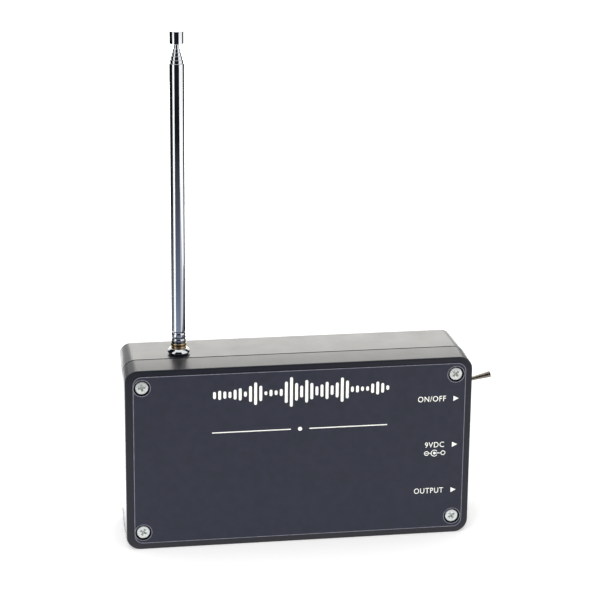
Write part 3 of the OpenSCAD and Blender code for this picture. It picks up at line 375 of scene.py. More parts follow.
def together(*made):
    # several closed shapes as the points and faces of one piece
    starts = np.cumsum([0] + [len(points) for points, _ in made])
    faces = [[int(start) + i for i in face] for start, (_, group) in zip(starts, made) for face in group]
    return np.vstack([points for points, _ in made]), faces


def rounded(corners, steps=6, loop=False):
    # a profile through corners (across, along, rounding): each corner is cut back by its rounding
    # and joined by the curve (1 - t)^2 A + 2 t (1 - t) C + t^2 B from cut A over corner C to cut B
    c = np.array(corners, float)
    p, cut = c[:, :2], c[:, 2:]
    before, after = np.roll(p, 1, 0), np.roll(p, -1, 0)
    if not loop:
        before[0], after[-1] = p[0], p[-1]
    a, b = [
        p + cut * (other - p) / np.maximum(np.linalg.norm(other - p, axis=1), 1e-9)[:, None]
        for other in (before, after)
    ]
    t = np.linspace(0, 1, steps + 1)[None, :, None]
    curve = (1 - t) ** 2 * a[:, None] + 2 * t * (1 - t) * p[:, None] + t ** 2 * b[:, None]
    curve = curve.reshape(-1, 2)
    keep = np.r_[True, np.linalg.norm(np.diff(curve, axis=0), axis=1) > 1e-5]
    curve = curve[keep]
    if loop and np.linalg.norm(curve[0] - curve[-1]) < 1e-5:
        curve = curve[:-1]
    return curve


def lathe(profile, sides=96, loop=False, shape=None):
    # every profile point (radius, height) carried round Z; shape may change both by row and angle.
    # An open profile starts and ends on the axis, where one point closes it
    rows = profile if loop else profile[1:-1]
    turn = np.linspace(0, fullTurn, sides, endpoint=False)[None, :]
    r = np.repeat(rows[:, :1], sides, 1)
    z = np.repeat(rows[:, 1:], sides, 1)
    if shape:
        r, z = shape(r, z, np.repeat(turn, len(rows), 0))
    points = np.stack([r * np.cos(turn), r * np.sin(turn), z], -1).reshape(-1, 3)
    faces = gridFaces(len(rows), sides, wrapRows=loop).tolist()
    if loop:
        return points, faces
    ends = np.array([[0, 0, profile[0, 1]], [0, 0, profile[-1, 1]]])
    j = np.arange(sides)
    last = (len(rows) - 1) * sides
    low = np.stack([np.full(sides, len(points)), (j + 1) % sides, j], -1)
    high = np.stack([np.full(sides, len(points) + 1), last + j, last + (j + 1) % sides], -1)
    return np.vstack([points, ends]), faces + low.tolist() + high.tolist()


caseSize = {
    "side": 75.0, "height": 82.0, "front": -19.2, "seam": -5.8, "back": 19.2, "corner": 6.0, "portY": 2.0,
    "lidDraft": (0.0, 0.35),      # how far the lid's sides and top come in towards the front
    "baseDraft": (1.0, 0.8),      # how far the base shell's sides and top come in towards the back
    "skin": (4.0, 5.3),           # the draft grows from none to all between these radii of a corner
    "grooveDeep": 1.0, "grooveFlat": 0.27, "grooveHalf": 0.4, "grooveRim": 0.6,
}


def draftAt(y):
    # inset of the sides and of the top at depth y: it grows evenly from the seam to either face
    lid = np.maximum((caseSize["seam"] - y) / (caseSize["seam"] - caseSize["front"]), 0)
    base = np.maximum((y - caseSize["seam"]) / (caseSize["back"] - caseSize["seam"]), 0)
    return lid[..., None] * np.array(caseSize["lidDraft"]) + base[..., None] * np.array(caseSize["baseDraft"])


def mergedCopy(node, cuts, distance=0.002):
    # the node's points in mm with doubles merged, and its triangles, after it is cut at some depths y
    mesh = node.data.copy()
    work = bmesh.new()
    work.from_mesh(mesh)
    bmesh.ops.remove_doubles(work, verts=work.verts, dist=distance * mm)
    for y in cuts:
        bmesh.ops.bisect_plane(
            work, geom=work.verts[:] + work.edges[:] + work.faces[:], dist=1e-7,
            plane_co=(0, y * mm, 0), plane_no=(0, 1, 0),
        )
    work.to_mesh(mesh)
    work.free()
    flat = np.zeros(len(mesh.vertices) * 3)
    mesh.vertices.foreach_get("co", flat)
    points = flat.reshape(-1, 3) / mm
    mesh.calc_loop_triangles()
    tris = np.zeros(len(mesh.loop_triangles) * 3, int)
    mesh.loop_triangles.foreach_get("vertices", tris)
    bpy.data.meshes.remove(mesh)
    cells = np.round(points / distance).astype(int)
    _, first, back = np.unique(cells, axis=0, return_index=True, return_inverse=True)
    tris = back.reshape(-1)[tris].reshape(-1, 3)
    good = (tris[:, 0] != tris[:, 1]) & (tris[:, 1] != tris[:, 2]) & (tris[:, 2] != tris[:, 0])
    return points[first], tris[good]


def drafted(name, nodeName, body):
    # the shell's outer skin moved in along its rounded outline by draftAt(y), the inside and the bottom left
    # as they are; the parting line is cut deeper by a flat-bottomed groove round the seam
    cuts = [caseSize["seam"] + k * caseSize[n] for n in ("grooveFlat", "grooveHalf") for k in (-1, 1)]
    p, faces = mergedCopy(frame["nodes"][nodeName], cuts)
    r, half = caseSize["corner"], caseSize["height"] / 2
    core = np.array([caseSize["side"] - r, half - r])
    flat = np.stack([p[:, 0], p[:, 2] - half], -1)
    over = np.maximum(np.abs(flat) - core, 0)
    reach = np.linalg.norm(over, axis=1)
    skin = np.interp(reach, caseSize["skin"], (0, 1))
    way = np.sign(flat) * over / np.maximum(reach, 1e-9)[:, None]
    inset = draftAt(p[:, 1])
    inset[:, 1] = np.where(flat[:, 1] < 0, 0, inset[:, 1])
    off = np.abs(p[:, 1] - caseSize["seam"])
    groove = np.interp(off, [caseSize["grooveFlat"], caseSize["grooveHalf"]], [caseSize["grooveDeep"], 0])
    groove = groove * (reach > r - caseSize["grooveRim"])
    move = -(inset * skin[:, None] + groove[:, None]) * way
    p = p + np.stack([move[:, 0], np.zeros(len(p)), move[:, 1]], -1)
    return makePiece(name, p, faces.tolist(), mouldedAbs, body, "case_black", [nodeName], sharp=28)


drafted("baseMoulding", "base_shell", "case")
drafted("lidMoulding", "lid_shell", "lid")
print("case mouldings done")


label = {
    "x": 0.28, "halfW": 71.87, "low": 2.9, "high": 79.1, "round": 3.7,
    "face": -19.56,       # front face of the film, just under its raised edge
    "edge": -19.6,        # crest of the raised cut edge
    "edgeW": 0.32,        # width of that edge
    "edgeSunk": 0.02,     # how deep its foot lies in the film
    "printT": 0.025,      # thickness of the ink
    "printSunk": 0.01,    # how deep its back lies in the film
    "back": -19.2,
    "holeR": 3.5,
}
screwX, screwLow, screwHigh = 67.75, 7.95, 74.05
screwAt = {
    "TopLeft": (-screwX, screwHigh), "TopRight": (screwX, screwHigh),
    "LowLeft": (-screwX, screwLow), "LowRight": (screwX, screwLow),
}
ringTurn = np.linspace(0, fullTurn, 48, endpoint=False)
ringWay = np.stack([np.cos(ringTurn), np.sin(ringTurn)], -1)


def labelOutline(steps=10):
    # closed path round the label, a rectangle with round corners, and the inward direction at each point
    a = np.concatenate([np.linspace(k, k + 1, steps) for k in range(4)]) * math.pi / 2
    side = np.stack([np.cos(a), np.sin(a)], -1)
    quad = np.repeat(np.arange(4), steps)
    r = label["round"]
    cx = label["x"] + np.array([1, -1, -1, 1])[quad] * (label["halfW"] - r)
    cz = np.where(np.array([1, 1, -1, -1])[quad] > 0, label["high"] - r, label["low"] + r)
    return np.stack([cx, cz], -1) + side * r, -side


def filmCurve():
    # the label's outline with its four screw holes, as one filled curve
    curve = bpy.data.curves.new("labelFilm", "CURVE")
    curve.dimensions = "2D"
    curve.fill_mode = "BOTH"
    holes = [np.array(at) + ringWay * label["holeR"] for at in sorted(screwAt.values())]
    for run in [labelOutline()[0]] + holes:
        spline = curve.splines.new("POLY")
        spline.points.add(len(run) - 1)
        spline.points.foreach_set("co", np.column_stack([run, np.zeros(len(run)), np.ones(len(run))]).ravel())
        spline.use_cyclic_u = True
    return curve


def curveMesh(curve):
    # a flat curve filled and made a mesh: its points in mm (x, y) and its faces
    holder = addObject(curve.name, curve)
    bpy.context.view_layer.update()
    mesh = bpy.data.meshes.new_from_object(holder.evaluated_get(bpy.context.evaluated_depsgraph_get()))
    bpy.data.objects.remove(holder)
    bpy.data.curves.remove(curve)
    flat = np.zeros(len(mesh.vertices) * 3)
    mesh.vertices.foreach_get("co", flat)
    faces = [tuple(f.vertices) for f in mesh.polygons]
    bpy.data.meshes.remove(mesh)
    return flat.reshape(-1, 3)[:, :2], faces


def plate(points, faces, near, far):
    # closes a flat fill (x, z) into a plate between two depths: the fill, its mirror, and walls on its rim
    flat, back = np.unique(np.round(points, 5), axis=0, return_inverse=True)
    back = back.reshape(-1)
    faces = [tuple(int(back[i]) for i in f) for f in faces]
    n = len(flat)
    front, rear = [np.stack([flat[:, 0], np.full(n, y), flat[:, 1]], -1) for y in (near, far)]
    edges = {(a, b) for f in faces for a, b in zip(f, f[1:] + f[:1])}
    rim = [(a, b) for a, b in edges if (b, a) not in edges]
    walls = [(b, a, n + a, n + b) for a, b in rim]
    return np.vstack([front, rear]), faces + [tuple(n + i for i in f[::-1]) for f in faces] + walls


def edgeBead(name, path, inward):
    # a low half-round bead carried along a closed path in X and Z; inward points from the path to the film
    s = np.linspace(0, math.pi, 7)
    across = (1 - np.cos(s)) / 2 * label["edgeW"]
    root = label["face"] + label["edgeSunk"]
    depth = root - np.sin(s) * (root - label["edge"])
    grid = path[:, None, :] + inward[:, None, :] * across[None, :, None]
    points = np.stack([grid[..., 0], np.repeat(depth[None], len(path), 0), grid[..., 1]], -1).reshape(-1, 3)
    faces = gridFaces(len(path), len(s), wrapRows=True, wrapCols=True)
    return makePiece(name, points, faces.tolist(), filmEdgeHighlight, "lid", "label_slate", sharp=80)


film = plate(*curveMesh(filmCurve()), label["face"], label["back"])
makePiece("labelFilm", *film, slateInk, "lid", "label_slate", ["label_plate"], sharp=20)
# the raised cut edge of the label and the rings round its screw holes, in pale grey that is partly a painted
# highlight
path, inward = labelOutline()
edgeBead("labelEdge", path[::-1], inward[::-1])
for corner, at in screwAt.items():
    edgeBead("labelRing" + corner, np.array(at) + ringWay * label["holeR"], ringWay)


def printed(name, outlines):
    # thin closed plates of ink: each outline is a run of points (x, z), anticlockwise from the front
    points, faces = [], []
    for run in outlines:
        n, base = len(run), sum(len(q) for q in points)
        front = np.stack([run[:, 0], np.full(n, label["face"] - label["printT"]), run[:, 1]], -1)
        back = front + np.array([0, label["printT"] + label["printSunk"], 0])
        points.append(np.vstack([front, back]))
        k = np.arange(n)
        faces.append((base + k).tolist())
        faces.append((base + n + k[::-1]).tolist())
        faces += np.stack([base + (k + 1) % n, base + k, base + n + k, base + n + (k + 1) % n], -1).tolist()
    return makePiece(name, np.vstack(points), faces, whiteInk, "lid", "label_slate", sharp=20)


def stadium(x, z, w, h, steps=8):
    # upright bar with round ends
    a = np.linspace(0, math.pi, steps)
    r = w / 2
    top = np.stack([x + r * np.cos(a), z + h / 2 - r + r * np.sin(a)], -1)
    low = np.stack([x - r * np.cos(a), z - h / 2 + r - r * np.sin(a)], -1)
    return np.vstack([top, low])


def barBand(x0, x1, z, w):
    # level bar from x0 to x1 round height z
    return np.array([[x0, z - w / 2], [x1, z - w / 2], [x1, z + w / 2], [x0, z + w / 2]])


def ringBand(x, z, r, w, start=0.0, end=fullTurn, steps=40):
    # flat band of width w along an arc of radius r, as one outline
    a = np.linspace(start, end, steps)
    way = np.stack([np.cos(a), np.sin(a)], -1)
    return np.array([x, z]) + np.vstack([way * (r + w / 2), way[::-1] * (r - w / 2)])


# A row of level bars with a plain rule under it. The bars' lengths follow two waves, each a rate, a start and
# a share, and fade towards the ends
bars = {
    "x": 0.5, "z": 69.4, "count": 35, "pitch": 2.2, "w": 1.25, "tall": 14.5, "low": 1.7,
    "waves": ((0.55, 0, 0.6), (1.27, 0.8, 0.4)), "fade": 15,
}
k = np.arange(bars["count"]) - (bars["count"] - 1) / 2
swell = np.abs(sum(np.sin(k * rate + start) * share for rate, start, share in bars["waves"]))
heights = bars["low"] + (bars["tall"] - bars["low"]) * swell * np.exp(-(k / bars["fade"]) ** 2)
printed("levelBars", [
    stadium(bars["x"] + i * bars["pitch"], bars["z"], bars["w"], h) for i, h in zip(k, heights)
])
rule = {"z": 52.4, "reach": 38.0, "gap": 4.0, "w": 0.45, "dotR": 0.9}
printed("printedRule", [
    barBand(-rule["reach"], -rule["gap"], rule["z"], rule["w"]),
    barBand(rule["gap"], rule["reach"], rule["z"], rule["w"]),
    np.array([0, rule["z"]]) + ringWay * rule["dotR"],
])

portZ = {"switch": 63.0, "inlet": 41.7, "socket": 20.4}
arrow = {"x": 66.9, "w": 2.3, "h": 2.35}
printed("portArrows", [
    np.array([0, z]) + np.array([
        [arrow["x"], -arrow["h"] / 2], [arrow["x"] + arrow["w"], 0], [arrow["x"], arrow["h"] / 2],
    ])
    for z in portZ.values()
])

# The words at the three arrows, each with its left end, right end and middle height
letters = {
    "capHeight": 2.5, "spacing": 1.12, "bolder": 0.004, "steps": 6,
    "switchWords": ("ON/OFF", 51.3, 63.6, 63.2),
    "inletWords": ("9VDC", 54.9, 63.4, 41.9),
    "socketWords": ("OUTPUT", 50.6, 63.6, 20.5),
}


def lettering(name, words, left, right, z):
    # letters converted to a mesh, then fitted between two ends at a middle height on the label
    curve = bpy.data.curves.new(name + "Curve", "FONT")
    curve.body = words
    curve.size = 1.0
    curve.offset = letters["bolder"]
    curve.space_character = letters["spacing"]
    curve.resolution_u = letters["steps"]
    flat, faces = curveMesh(curve)
    size = np.array([(right - left) / np.ptp(flat[:, 0]), letters["capHeight"] / np.ptp(flat[:, 1])])
    middle = (flat[:, 1].max() + flat[:, 1].min()) / 2
    flat = (flat - np.array([flat[:, 0].max(), middle])) * size + np.array([right, z])
    made = plate(flat, faces, label["face"] - label["printT"], label["face"] + label["printSunk"])
    return makePiece(name, *made, whiteInk, "lid", "label_slate", sharp=20)


for name in ("switchWords", "inletWords", "socketWords"):
    lettering(name, *letters[name])
# The sign of the power plug's centre pin: a ring with a bar in it, an open ring round a dot, and a ring
sign = {
    "x": 59.2, "z": 38.0, "w": 0.32, "endR": 0.9, "ends": (-3.5, 3.8), "minus": 0.45,
    "links": ((-2.5, -1.5), (0.5, 2.8)), "openR": 1.4, "opening": 0.65, "dotR": 0.62,
}


def signBar(start, end):
    return barBand(sign["x"] + start, sign["x"] + end, sign["z"], sign["w"])


def signRing(x, r, opening=0.0):
    return ringBand(sign["x"] + x, sign["z"], r, sign["w"], opening, fullTurn - opening)


printed("polaritySign", [
    signRing(sign["ends"][0], sign["endR"]),
    signBar(sign["ends"][0] - sign["minus"], sign["ends"][0] + sign["minus"]),
    signBar(*sign["links"][0]),
    signRing(0, sign["openR"], sign["opening"]),
    np.array([sign["x"], sign["z"]]) + ringWay * sign["dotR"],
    signBar(*sign["links"][1]),
    signRing(sign["ends"][1], sign["endR"]),
])
print("label done")


screw = {
    "headR": 2.8, "headTop": 2.55, "edge": 2.33, "domeR": 2.758, "shankR": 1.45, "len": 18.9, "point": 3.0,
    "seat": -16.7, "armL": 1.55, "armW": 0.4, "deep": 1.6, "turns": (10, 41, 62, 33),
    "slopeOut": 0.12,     # the slot's slope starts this far outside an arm's outline
    "slope": 0.4,         # and is this wide
}


def toFront(points, x, z):
    # turns a shape built along Z so that it points out of the front at x, z
    return np.stack([points[:, 0] + x, -points[:, 2], points[:, 1] + z], -1)


def crossHead(turn):
    # pan head whose dome sinks along two crossed arms: depth falls with the distance past an arm's outline
    def shape(r, z, a):
        x, y = np.abs(r * np.cos(a - turn)), np.abs(r * np.sin(a - turn))
        arms = np.maximum(
            np.minimum(screw["armW"] - x, screw["armL"] - y),
            np.minimum(screw["armW"] - y, screw["armL"] - x),
        )
        sink = np.clip((arms + screw["slopeOut"]) / screw["slope"], 0, 1)
        top = z > screw["edge"] + 0.02
        return r, z - np.where(top, screw["deep"] * sink * sink * (3 - 2 * sink), 0)
    domeH = screw["headTop"] - screw["edge"]
    ball = (domeH ** 2 + screw["headR"] ** 2) / (2 * domeH)
    r = np.linspace(screw["domeR"], 0.04, 46)
    dome = np.stack([r, screw["headTop"] - ball + np.sqrt(ball ** 2 - r ** 2)], -1)
    low = rounded([
        (0, -screw["len"], 0), (0.3, -screw["len"], 0.05),
        (screw["shankR"], screw["point"] - screw["len"], 0.5), (screw["shankR"], 0, 0),
        (screw["headR"], 0, 0.2), (screw["headR"], screw["edge"], 0.25),
        (screw["domeR"], screw["edge"] + 0.07, 0),
    ], 4)
    profile = np.vstack([low, dome[1:], [[0, screw["headTop"] - screw["deep"]]]])
    return lathe(profile, 120, shape=shape)


def placedScrew(turn, at):
    points, faces = crossHead(math.radians(turn))
    return toFront(points, *at) + np.array([0, screw["seat"], 0]), faces


lidScrews = together(*[placedScrew(turn, at) for turn, at in zip(screw["turns"], screwAt.values())])
makePiece("lidScrews", *lidScrews, zincPlate, "lid", "zinc_screw", ["lid_screws"], sharp=40)
print("screws done")


antenna = {
    "x": -49.8, "y": 1.3, "top": 208.9, "tube": 86.8, "wall": 0.25, "pitch": 0.8, "outer": 6.3, "step": 1.5,
    "insideFrom": 95.3, "glideH": 4.0, "lip": 0.8, "slack": 0.05,
    "crimps": (2.2, 4.8), "crimpHalf": 0.62, "crimpFlat": 0.3, "crimpDeep": 0.22,
    "pressed": (1.8, 5.2, 7.0, 7.3),      # heights over the tube's foot between which its bore is pressed in
    "rodOut": 2.1,                        # how far the rod's neck stands over the last tube
}


def toAntenna(made):
    points, faces = made
    return points + np.array([antenna["x"], antenna["y"], 0]), faces


def sectionR(n):
    return (antenna["outer"] - (n - 1) * antenna["pitch"]) / 2


def glideR(n):
    # outer radius of the spring collar that slides in the tube outside section n
    return sectionR(n - 1) - antenna["wall"] - antenna["slack"]


def antennaTube(n):
    # tube wall with a rolled-in lip at its top; the outer tube has crimped rings, the others a spring collar
    ro, ri = sectionR(n), sectionR(n) - antenna["wall"]
    top = antenna["top"] + (n - 1) * antenna["step"]
    lipIn = sectionR(n + 1) + antenna["slack"]
    lip = [(lipIn, top, 0.12), (lipIn, top - antenna["lip"], 0.1), (ri, top - antenna["lip"], 0.1)]
    if n == 1:
        low = antenna["tube"]
        crimpR = ro - antenna["crimpDeep"]
        outside = [(ri, low, 0), (ro, low, 0.08)]
        for ring in antenna["crimps"]:
            half, flat, middle = antenna["crimpHalf"], antenna["crimpFlat"], low + ring
            outside += [
                (ro, middle - half, 0.14), (crimpR, middle - flat, 0.14),
                (crimpR, middle + flat, 0.14), (ro, middle + half, 0.14),
            ]
        outside += [(ro, top - 1.1, 0.3), (ro, top - 0.5, 0.2), (ro - 0.02, top, 0.34)]
        p = [low + h for h in antenna["pressed"]]
        pressedR = ri - antenna["crimpDeep"]
        bore = [(ri, p[3], 0.1), (ri - 0.03, p[2], 0), (pressedR, p[1], 0.1), (pressedR, p[0], 0.1)]
        corners = outside + lip + bore
    else:
        low, high = antenna["insideFrom"], antenna["insideFrom"] + antenna["glideH"]
        corners = [
            (ri, low, 0.05), (glideR(n), low, 0.25), (glideR(n), high, 0.25),
            (ro, high, 0.05), (ro, top, 0.34),
        ] + lip
    return lathe(rounded(corners, 6, loop=True), 128, loop=True)


for n in range(1, 6):
    name, body = f"antennaTube{n}", "case" if n == 1 else f"antenna_section_{n}"
    made = toAntenna(antennaTube(n))
    makePiece(name, *made, chromePlate, body, "chrome", [f"antenna_tube_{n}"], sharp=50)

rod = {
    "r": sectionR(6), "glideR": glideR(6), "low": antenna["insideFrom"], "glideTop": 99.3,
    "neck": antenna["top"] + 4 * antenna["step"] + antenna["rodOut"],
    "inTip": 3.0,     # how far it reaches into the tip
}
made = toAntenna(lathe(rounded([
    (0, rod["low"], 0), (rod["glideR"], rod["low"], 0.25), (rod["glideR"], rod["glideTop"], 0.25),
    (rod["r"], rod["glideTop"], 0.05), (rod["r"], rod["neck"] + rod["inTip"], 0.1),
    (0, rod["neck"] + rod["inTip"], 0),
]), 96))
makePiece("antennaRod", *made, chromePlate, "antenna_rod_and_tip", "chrome", ["antenna_rod"], sharp=50)

tip = {"r": 2.975, "low": rod["neck"], "top": rod["neck"] + 5.4, "dimpleR": 1.2, "dimple": 0.1}
made = toAntenna(lathe(rounded([
    (0, tip["low"], 0), (rod["r"] + antenna["slack"], tip["low"], 0), (tip["r"], tip["low"], 0.22),
    (tip["r"], tip["top"], 0.3), (tip["dimpleR"], tip["top"], 0.4), (0, tip["top"] - tip["dimple"], 0),
]), 128))
makePiece("antennaTip", *made, chromePlate, "antenna_rod_and_tip", "chrome", ["antenna_tip"], sharp=50)

foot = {
    "r": 3.35, "low": 84.5, "grooveR": 3.05, "top": 86.8, "studR": 2.0, "studLow": 72.9,
    "neckR": 2.84, "plugR": 2.6, "plugTop": 94.8,
}
made = toAntenna(lathe(rounded([
    (0, foot["studLow"], 0), (foot["studR"], foot["studLow"], 0.3), (foot["studR"], foot["low"], 0),
    (foot["r"], foot["low"], 0.15), (foot["r"], 85.15, 0.12), (foot["grooveR"], 85.35, 0.1),
    (foot["grooveR"], 85.5, 0.1), (foot["r"], 85.7, 0.12), (foot["r"], foot["top"], 0.3),
    (foot["neckR"], foot["top"], 0), (foot["plugR"], 87.6, 0), (foot["plugR"], foot["plugTop"], 0),
    (0, foot["plugTop"], 0),
]), 128))
makePiece("brassFoot", *made, turnedBrass, "case", "brass", ["antenna_foot"], sharp=45)

collar = {"r": 4.85, "top": 84.5, "low": 81.5, "lowR": 3.75, "topR": 3.5, "bore": 2.05}
made = toAntenna(lathe(rounded([
    (collar["bore"], collar["low"], 0), (collar["lowR"], collar["low"], 0),
    (collar["lowR"] + 0.1, 81.85, 0.1), (4.75, 82.45, 0.3), (collar["r"], 82.9, 0.22),
    (4.65, 83.45, 0.35), (4.0, 84.15, 0.4),
    (collar["topR"], collar["top"], 0.2), (collar["bore"], collar["top"], 0),
], loop=True), 128, loop=True))
makePiece("antennaCollar", *made, chromePlate, "case", "chrome", ["antenna_collar"], sharp=50)
print("antenna done")


wallOut = -float(draftAt(np.array(caseSize["portY"]))[0])     # the drafted wall lies this far from the CAD's


def toPort(points, z, tilt=0.0, out=0.0):
    # turns a shape built along Z so that it points out of the right side at height z, tilted up in degrees
    a = math.radians(90 - tilt)
    turned = np.stack([
        points[:, 0] * math.cos(a) + points[:, 2] * math.sin(a), points[:, 1],
        -points[:, 0] * math.sin(a) + points[:, 2] * math.cos(a),
    ], -1)
    return turned + np.array([caseSize["side"] + out, caseSize["portY"], z])


def portPiece(name, made, port, mat, slot, nodes):
    points, faces = made
    return makePiece(name, toPort(points, portZ[port]), faces, mat, "case", slot, nodes, sharp=40)


def threaded(bore, r, low, high, pitch, deep, chamfer=0.25):
    # hollow screw: the outer radius sinks by deep times a triangle wave that climbs one pitch each turn
    def shape(radius, z, a):
        wave = np.abs(((z / pitch - a / fullTurn) % 1) * 2 - 1)
        outer = radius > r - 0.02
        fade = np.clip(np.minimum(z - low, high - z) / 0.3, 0, 1)
        return radius - np.where(outer, deep * wave * fade, 0), z
    rows = np.arange(low + chamfer, high - chamfer, pitch / 8)
    wall = np.stack([np.full(len(rows), r), rows], -1)
    profile = np.vstack([
        [[bore, low]], [[r - chamfer, low]], wall,
        [[r - chamfer, high]], [[bore + 0.15, high]], [[bore, high - 0.15]],
    ])
    return lathe(profile, 96, loop=True, shape=shape)


def hexNut(af, bore, low, high, chamfer=0.35):
    # six flats whose corners are cut by a cone at each end: the smaller of flat and cone radius at each angle
    corner = af / 2 / math.cos(math.pi / 6)
    inner = af / 2 * 0.97
    cone = np.linspace(0, 1, 7)
    rows = [(bore, low + 0.15), (bore + 0.15, low)]
    rows += [(inner + (corner - inner) * t, low + chamfer * t) for t in cone]
    rows += [(inner + (corner - inner) * t, high - chamfer * t) for t in cone[::-1]]
    rows += [(bore + 0.15, high), (bore, high - 0.15)]

    def shape(r, z, a):
        flat = af / 2 / np.cos((a % (math.pi / 3)) - math.pi / 6)
        return np.where(r > af / 2 * 0.9, np.minimum(r, flat), r), z
    return lathe(np.array(rows), 144, loop=True, shape=shape)


def slab(low, high, bevel=0.15):
    # a box with its edges cut: eight-cornered loops at four heights, the first and last drawn in by the bevel
    (x0, y0, z0), (x1, y1, z1) = low, high
    c = bevel
    loop = np.array([
        (x0 + c, y0), (x1 - c, y0), (x1, y0 + c), (x1, y1 - c),
        (x1 - c, y1), (x0 + c, y1), (x0, y1 - c), (x0, y0 + c),
    ])
    middle = np.array([(x0 + x1) / 2, (y0 + y1) / 2])
    drawn = middle + (loop - middle) * (1 - 2 * bevel / np.array([x1 - x0, y1 - y0]))
    rows = [(drawn, z0), (loop, z0 + bevel), (loop, z1 - bevel), (drawn, z1)]
    points = np.vstack([np.column_stack([corners, np.full(8, z)]) for corners, z in rows])
    k = np.arange(8).tolist()
    return points, gridFaces(4, 8).tolist() + [k[::-1], [24 + i for i in k]]


def washerRing(r, bore, low, high):
    corners = [(bore, low, 0), (r, low, 0.1), (r, high, 0.15), (bore, high, 0.1)]
    return lathe(rounded(corners, 4, loop=True), 96, loop=True)


switch = {
    "threadR": 3.0, "bore": 2.1, "inside": -5.5, "out": 3.9, "pitch": 0.7, "threadDeep": 0.22,
    "plate": ((-6.6, -3.95, -6.0), (6.6, 3.95, -5.5)), "hole": 3.1,
    "washerR": 4.7, "washerOut": 0.4 + wallOut, "nutWide": 8, "nutOut": 2.4 + wallOut,
}
washer = washerRing(switch["washerR"], switch["hole"], wallOut, switch["washerOut"])
portPiece("switchWasher", washer, "switch", nickelPlate, "nickel", ["switch_face_washer"])
nut = hexNut(switch["nutWide"], switch["hole"], switch["washerOut"], switch["nutOut"])
portPiece("switchNut", nut, "switch", nickelPlate, "nickel", ["switch_face_nut"])
bushing = together(
    threaded(*(switch[key] for key in ("bore", "threadR", "inside", "out", "pitch", "threadDeep"))),
    slab(*switch["plate"], 0.12),
)
portPiece("switchBushing", bushing, "switch", nickelPlate, "nickel", ["switch_bushing"])

lever = {
    "end": 11.15, "tip": 1.45, "root": 0.95, "ball": 2.0, "necks": 1.45, "tilt": 12.5, "pivot": 2.4,
    "tail": 4.0, "tailR": 0.75,
}
points, faces = lathe(rounded([
    (0, -lever["tail"], 0), (lever["tailR"], -lever["tail"], 0.2), (lever["tailR"], -1.9, 0.1),
    (lever["necks"], -1.4, 0.5), (lever["ball"], 0, 1.0), (lever["necks"], 1.4, 0.5),
    (lever["root"], 1.75, 0.2), (lever["root"] + 0.05, 4.5, 1.0), (lever["tip"], lever["end"] - 1.05, 0.8),
    (lever["tip"], lever["end"] - 0.25, 0.35), (1.0, lever["end"], 0.25), (0, lever["end"], 0),
]), 72)
points = toPort(points, portZ["switch"], tilt=lever["tilt"], out=lever["pivot"])
makePiece("switchLever", points, faces, nickelPlate, "switch_lever", "nickel", ["switch_lever"], sharp=45)

inlet = {
    "r": 5.4, "end": -13, "flangeR": 6.8, "flangeOut": 1.8 + wallOut, "mouthR": 3.3, "bore": 2.9,
    "boreFrom": -7.7, "boreTo": 1.4 + wallOut, "pinHole": 1.05, "pinR": 1.0, "pinOut": 0.6 + wallOut,
}
made = lathe(rounded([
    (inlet["r"], inlet["end"], 0.1), (inlet["r"], wallOut, 0), (inlet["flangeR"], wallOut, 0.1),
    (inlet["flangeR"], inlet["flangeOut"], 0.45), (inlet["mouthR"], inlet["flangeOut"], 0.3),
    (inlet["bore"], inlet["boreTo"], 0.1), (inlet["bore"], inlet["boreFrom"], 0),
    (inlet["pinHole"], inlet["boreFrom"], 0), (inlet["pinHole"], inlet["end"], 0),
], 5, loop=True), 128, loop=True)
portPiece("inletBody", made, "inlet", blackNylon, "jack_black", ["inlet_body"])
made = lathe(rounded([
    (0, inlet["end"], 0), (inlet["pinR"], inlet["end"], 0), (inlet["pinR"], inlet["pinOut"], 0.7),
    (0, inlet["pinOut"], 0),
]), 64)
portPiece("inletPin", made, "inlet", nickelPlate, "nickel", ["inlet_pin"])

socket = {
    "bore": 3.25, "r": 4.7, "out": 3.8, "pitch": 0.8, "threadDeep": 0.28,
    "plate": (-4.2, -3.0), "halfW": 7.0, "legY": (6.4, 7.6), "end": -18.2, "hole": 4.8,
    "washerR": 6.7, "washerOut": 0.8 + wallOut, "nutWide": 12.7, "nutOut": 3.0 + wallOut,
}
washer = washerRing(socket["washerR"], socket["hole"], wallOut, socket["washerOut"])
portPiece("socketWasher", washer, "socket", nickelPlate, "nickel", ["socket_face_washer"])
nut = hexNut(socket["nutWide"], socket["hole"], socket["washerOut"], socket["nutOut"], 0.5)
portPiece("socketNut", nut, "socket", nickelPlate, "nickel", ["socket_face_nut"])


def framePlate(low, high):
    # a plate with a round hole: the outer radius follows a rectangle, the smaller of its distances each way
    def shape(r, z, a):
        across = socket["halfW"] / np.maximum(np.abs(np.cos(a)), 1e-6)
        reach = np.where(np.sin(a) > 0, socket["legY"][1], socket["legY"][0])
        up = reach / np.maximum(np.abs(np.sin(a)), 1e-6)
        edge = np.minimum(across, up) - (socket["halfW"] - r)
        return np.where(r > socket["bore"] + 0.01, edge, r), z
    rim, bevel = socket["halfW"], 0.15
    ring = np.array([
        (socket["bore"], low), (rim - bevel, low), (rim, low + bevel),
        (rim, high - bevel), (rim - bevel, high), (socket["bore"], high),
    ])
    return lathe(ring, 160, loop=True, shape=shape)


plateLow, plateHigh = socket["plate"]
legIn, legOut = socket["legY"]
thread = threaded(
    socket["bore"], socket["r"], plateLow + 0.4, socket["out"], socket["pitch"], socket["threadDeep"],
    chamfer=0.35,
)
leg = slab((-socket["halfW"], legIn, socket["end"]), (socket["halfW"], legOut, plateLow + 0.2))
made = together(thread, framePlate(plateLow, plateHigh), leg)
portPiece("socketFrame", made, "socket", nickelPlate, "nickel", ["socket_frame"])
print("ports done")


foam = {
    "rim": 0.06, "pit": 0.16, "pitch": 1.15, "corner": 5.0, "rows": 22, "sides": 168, "seed": 4,
    "flat": 0.86,     # this share of its thickness has upright walls
}


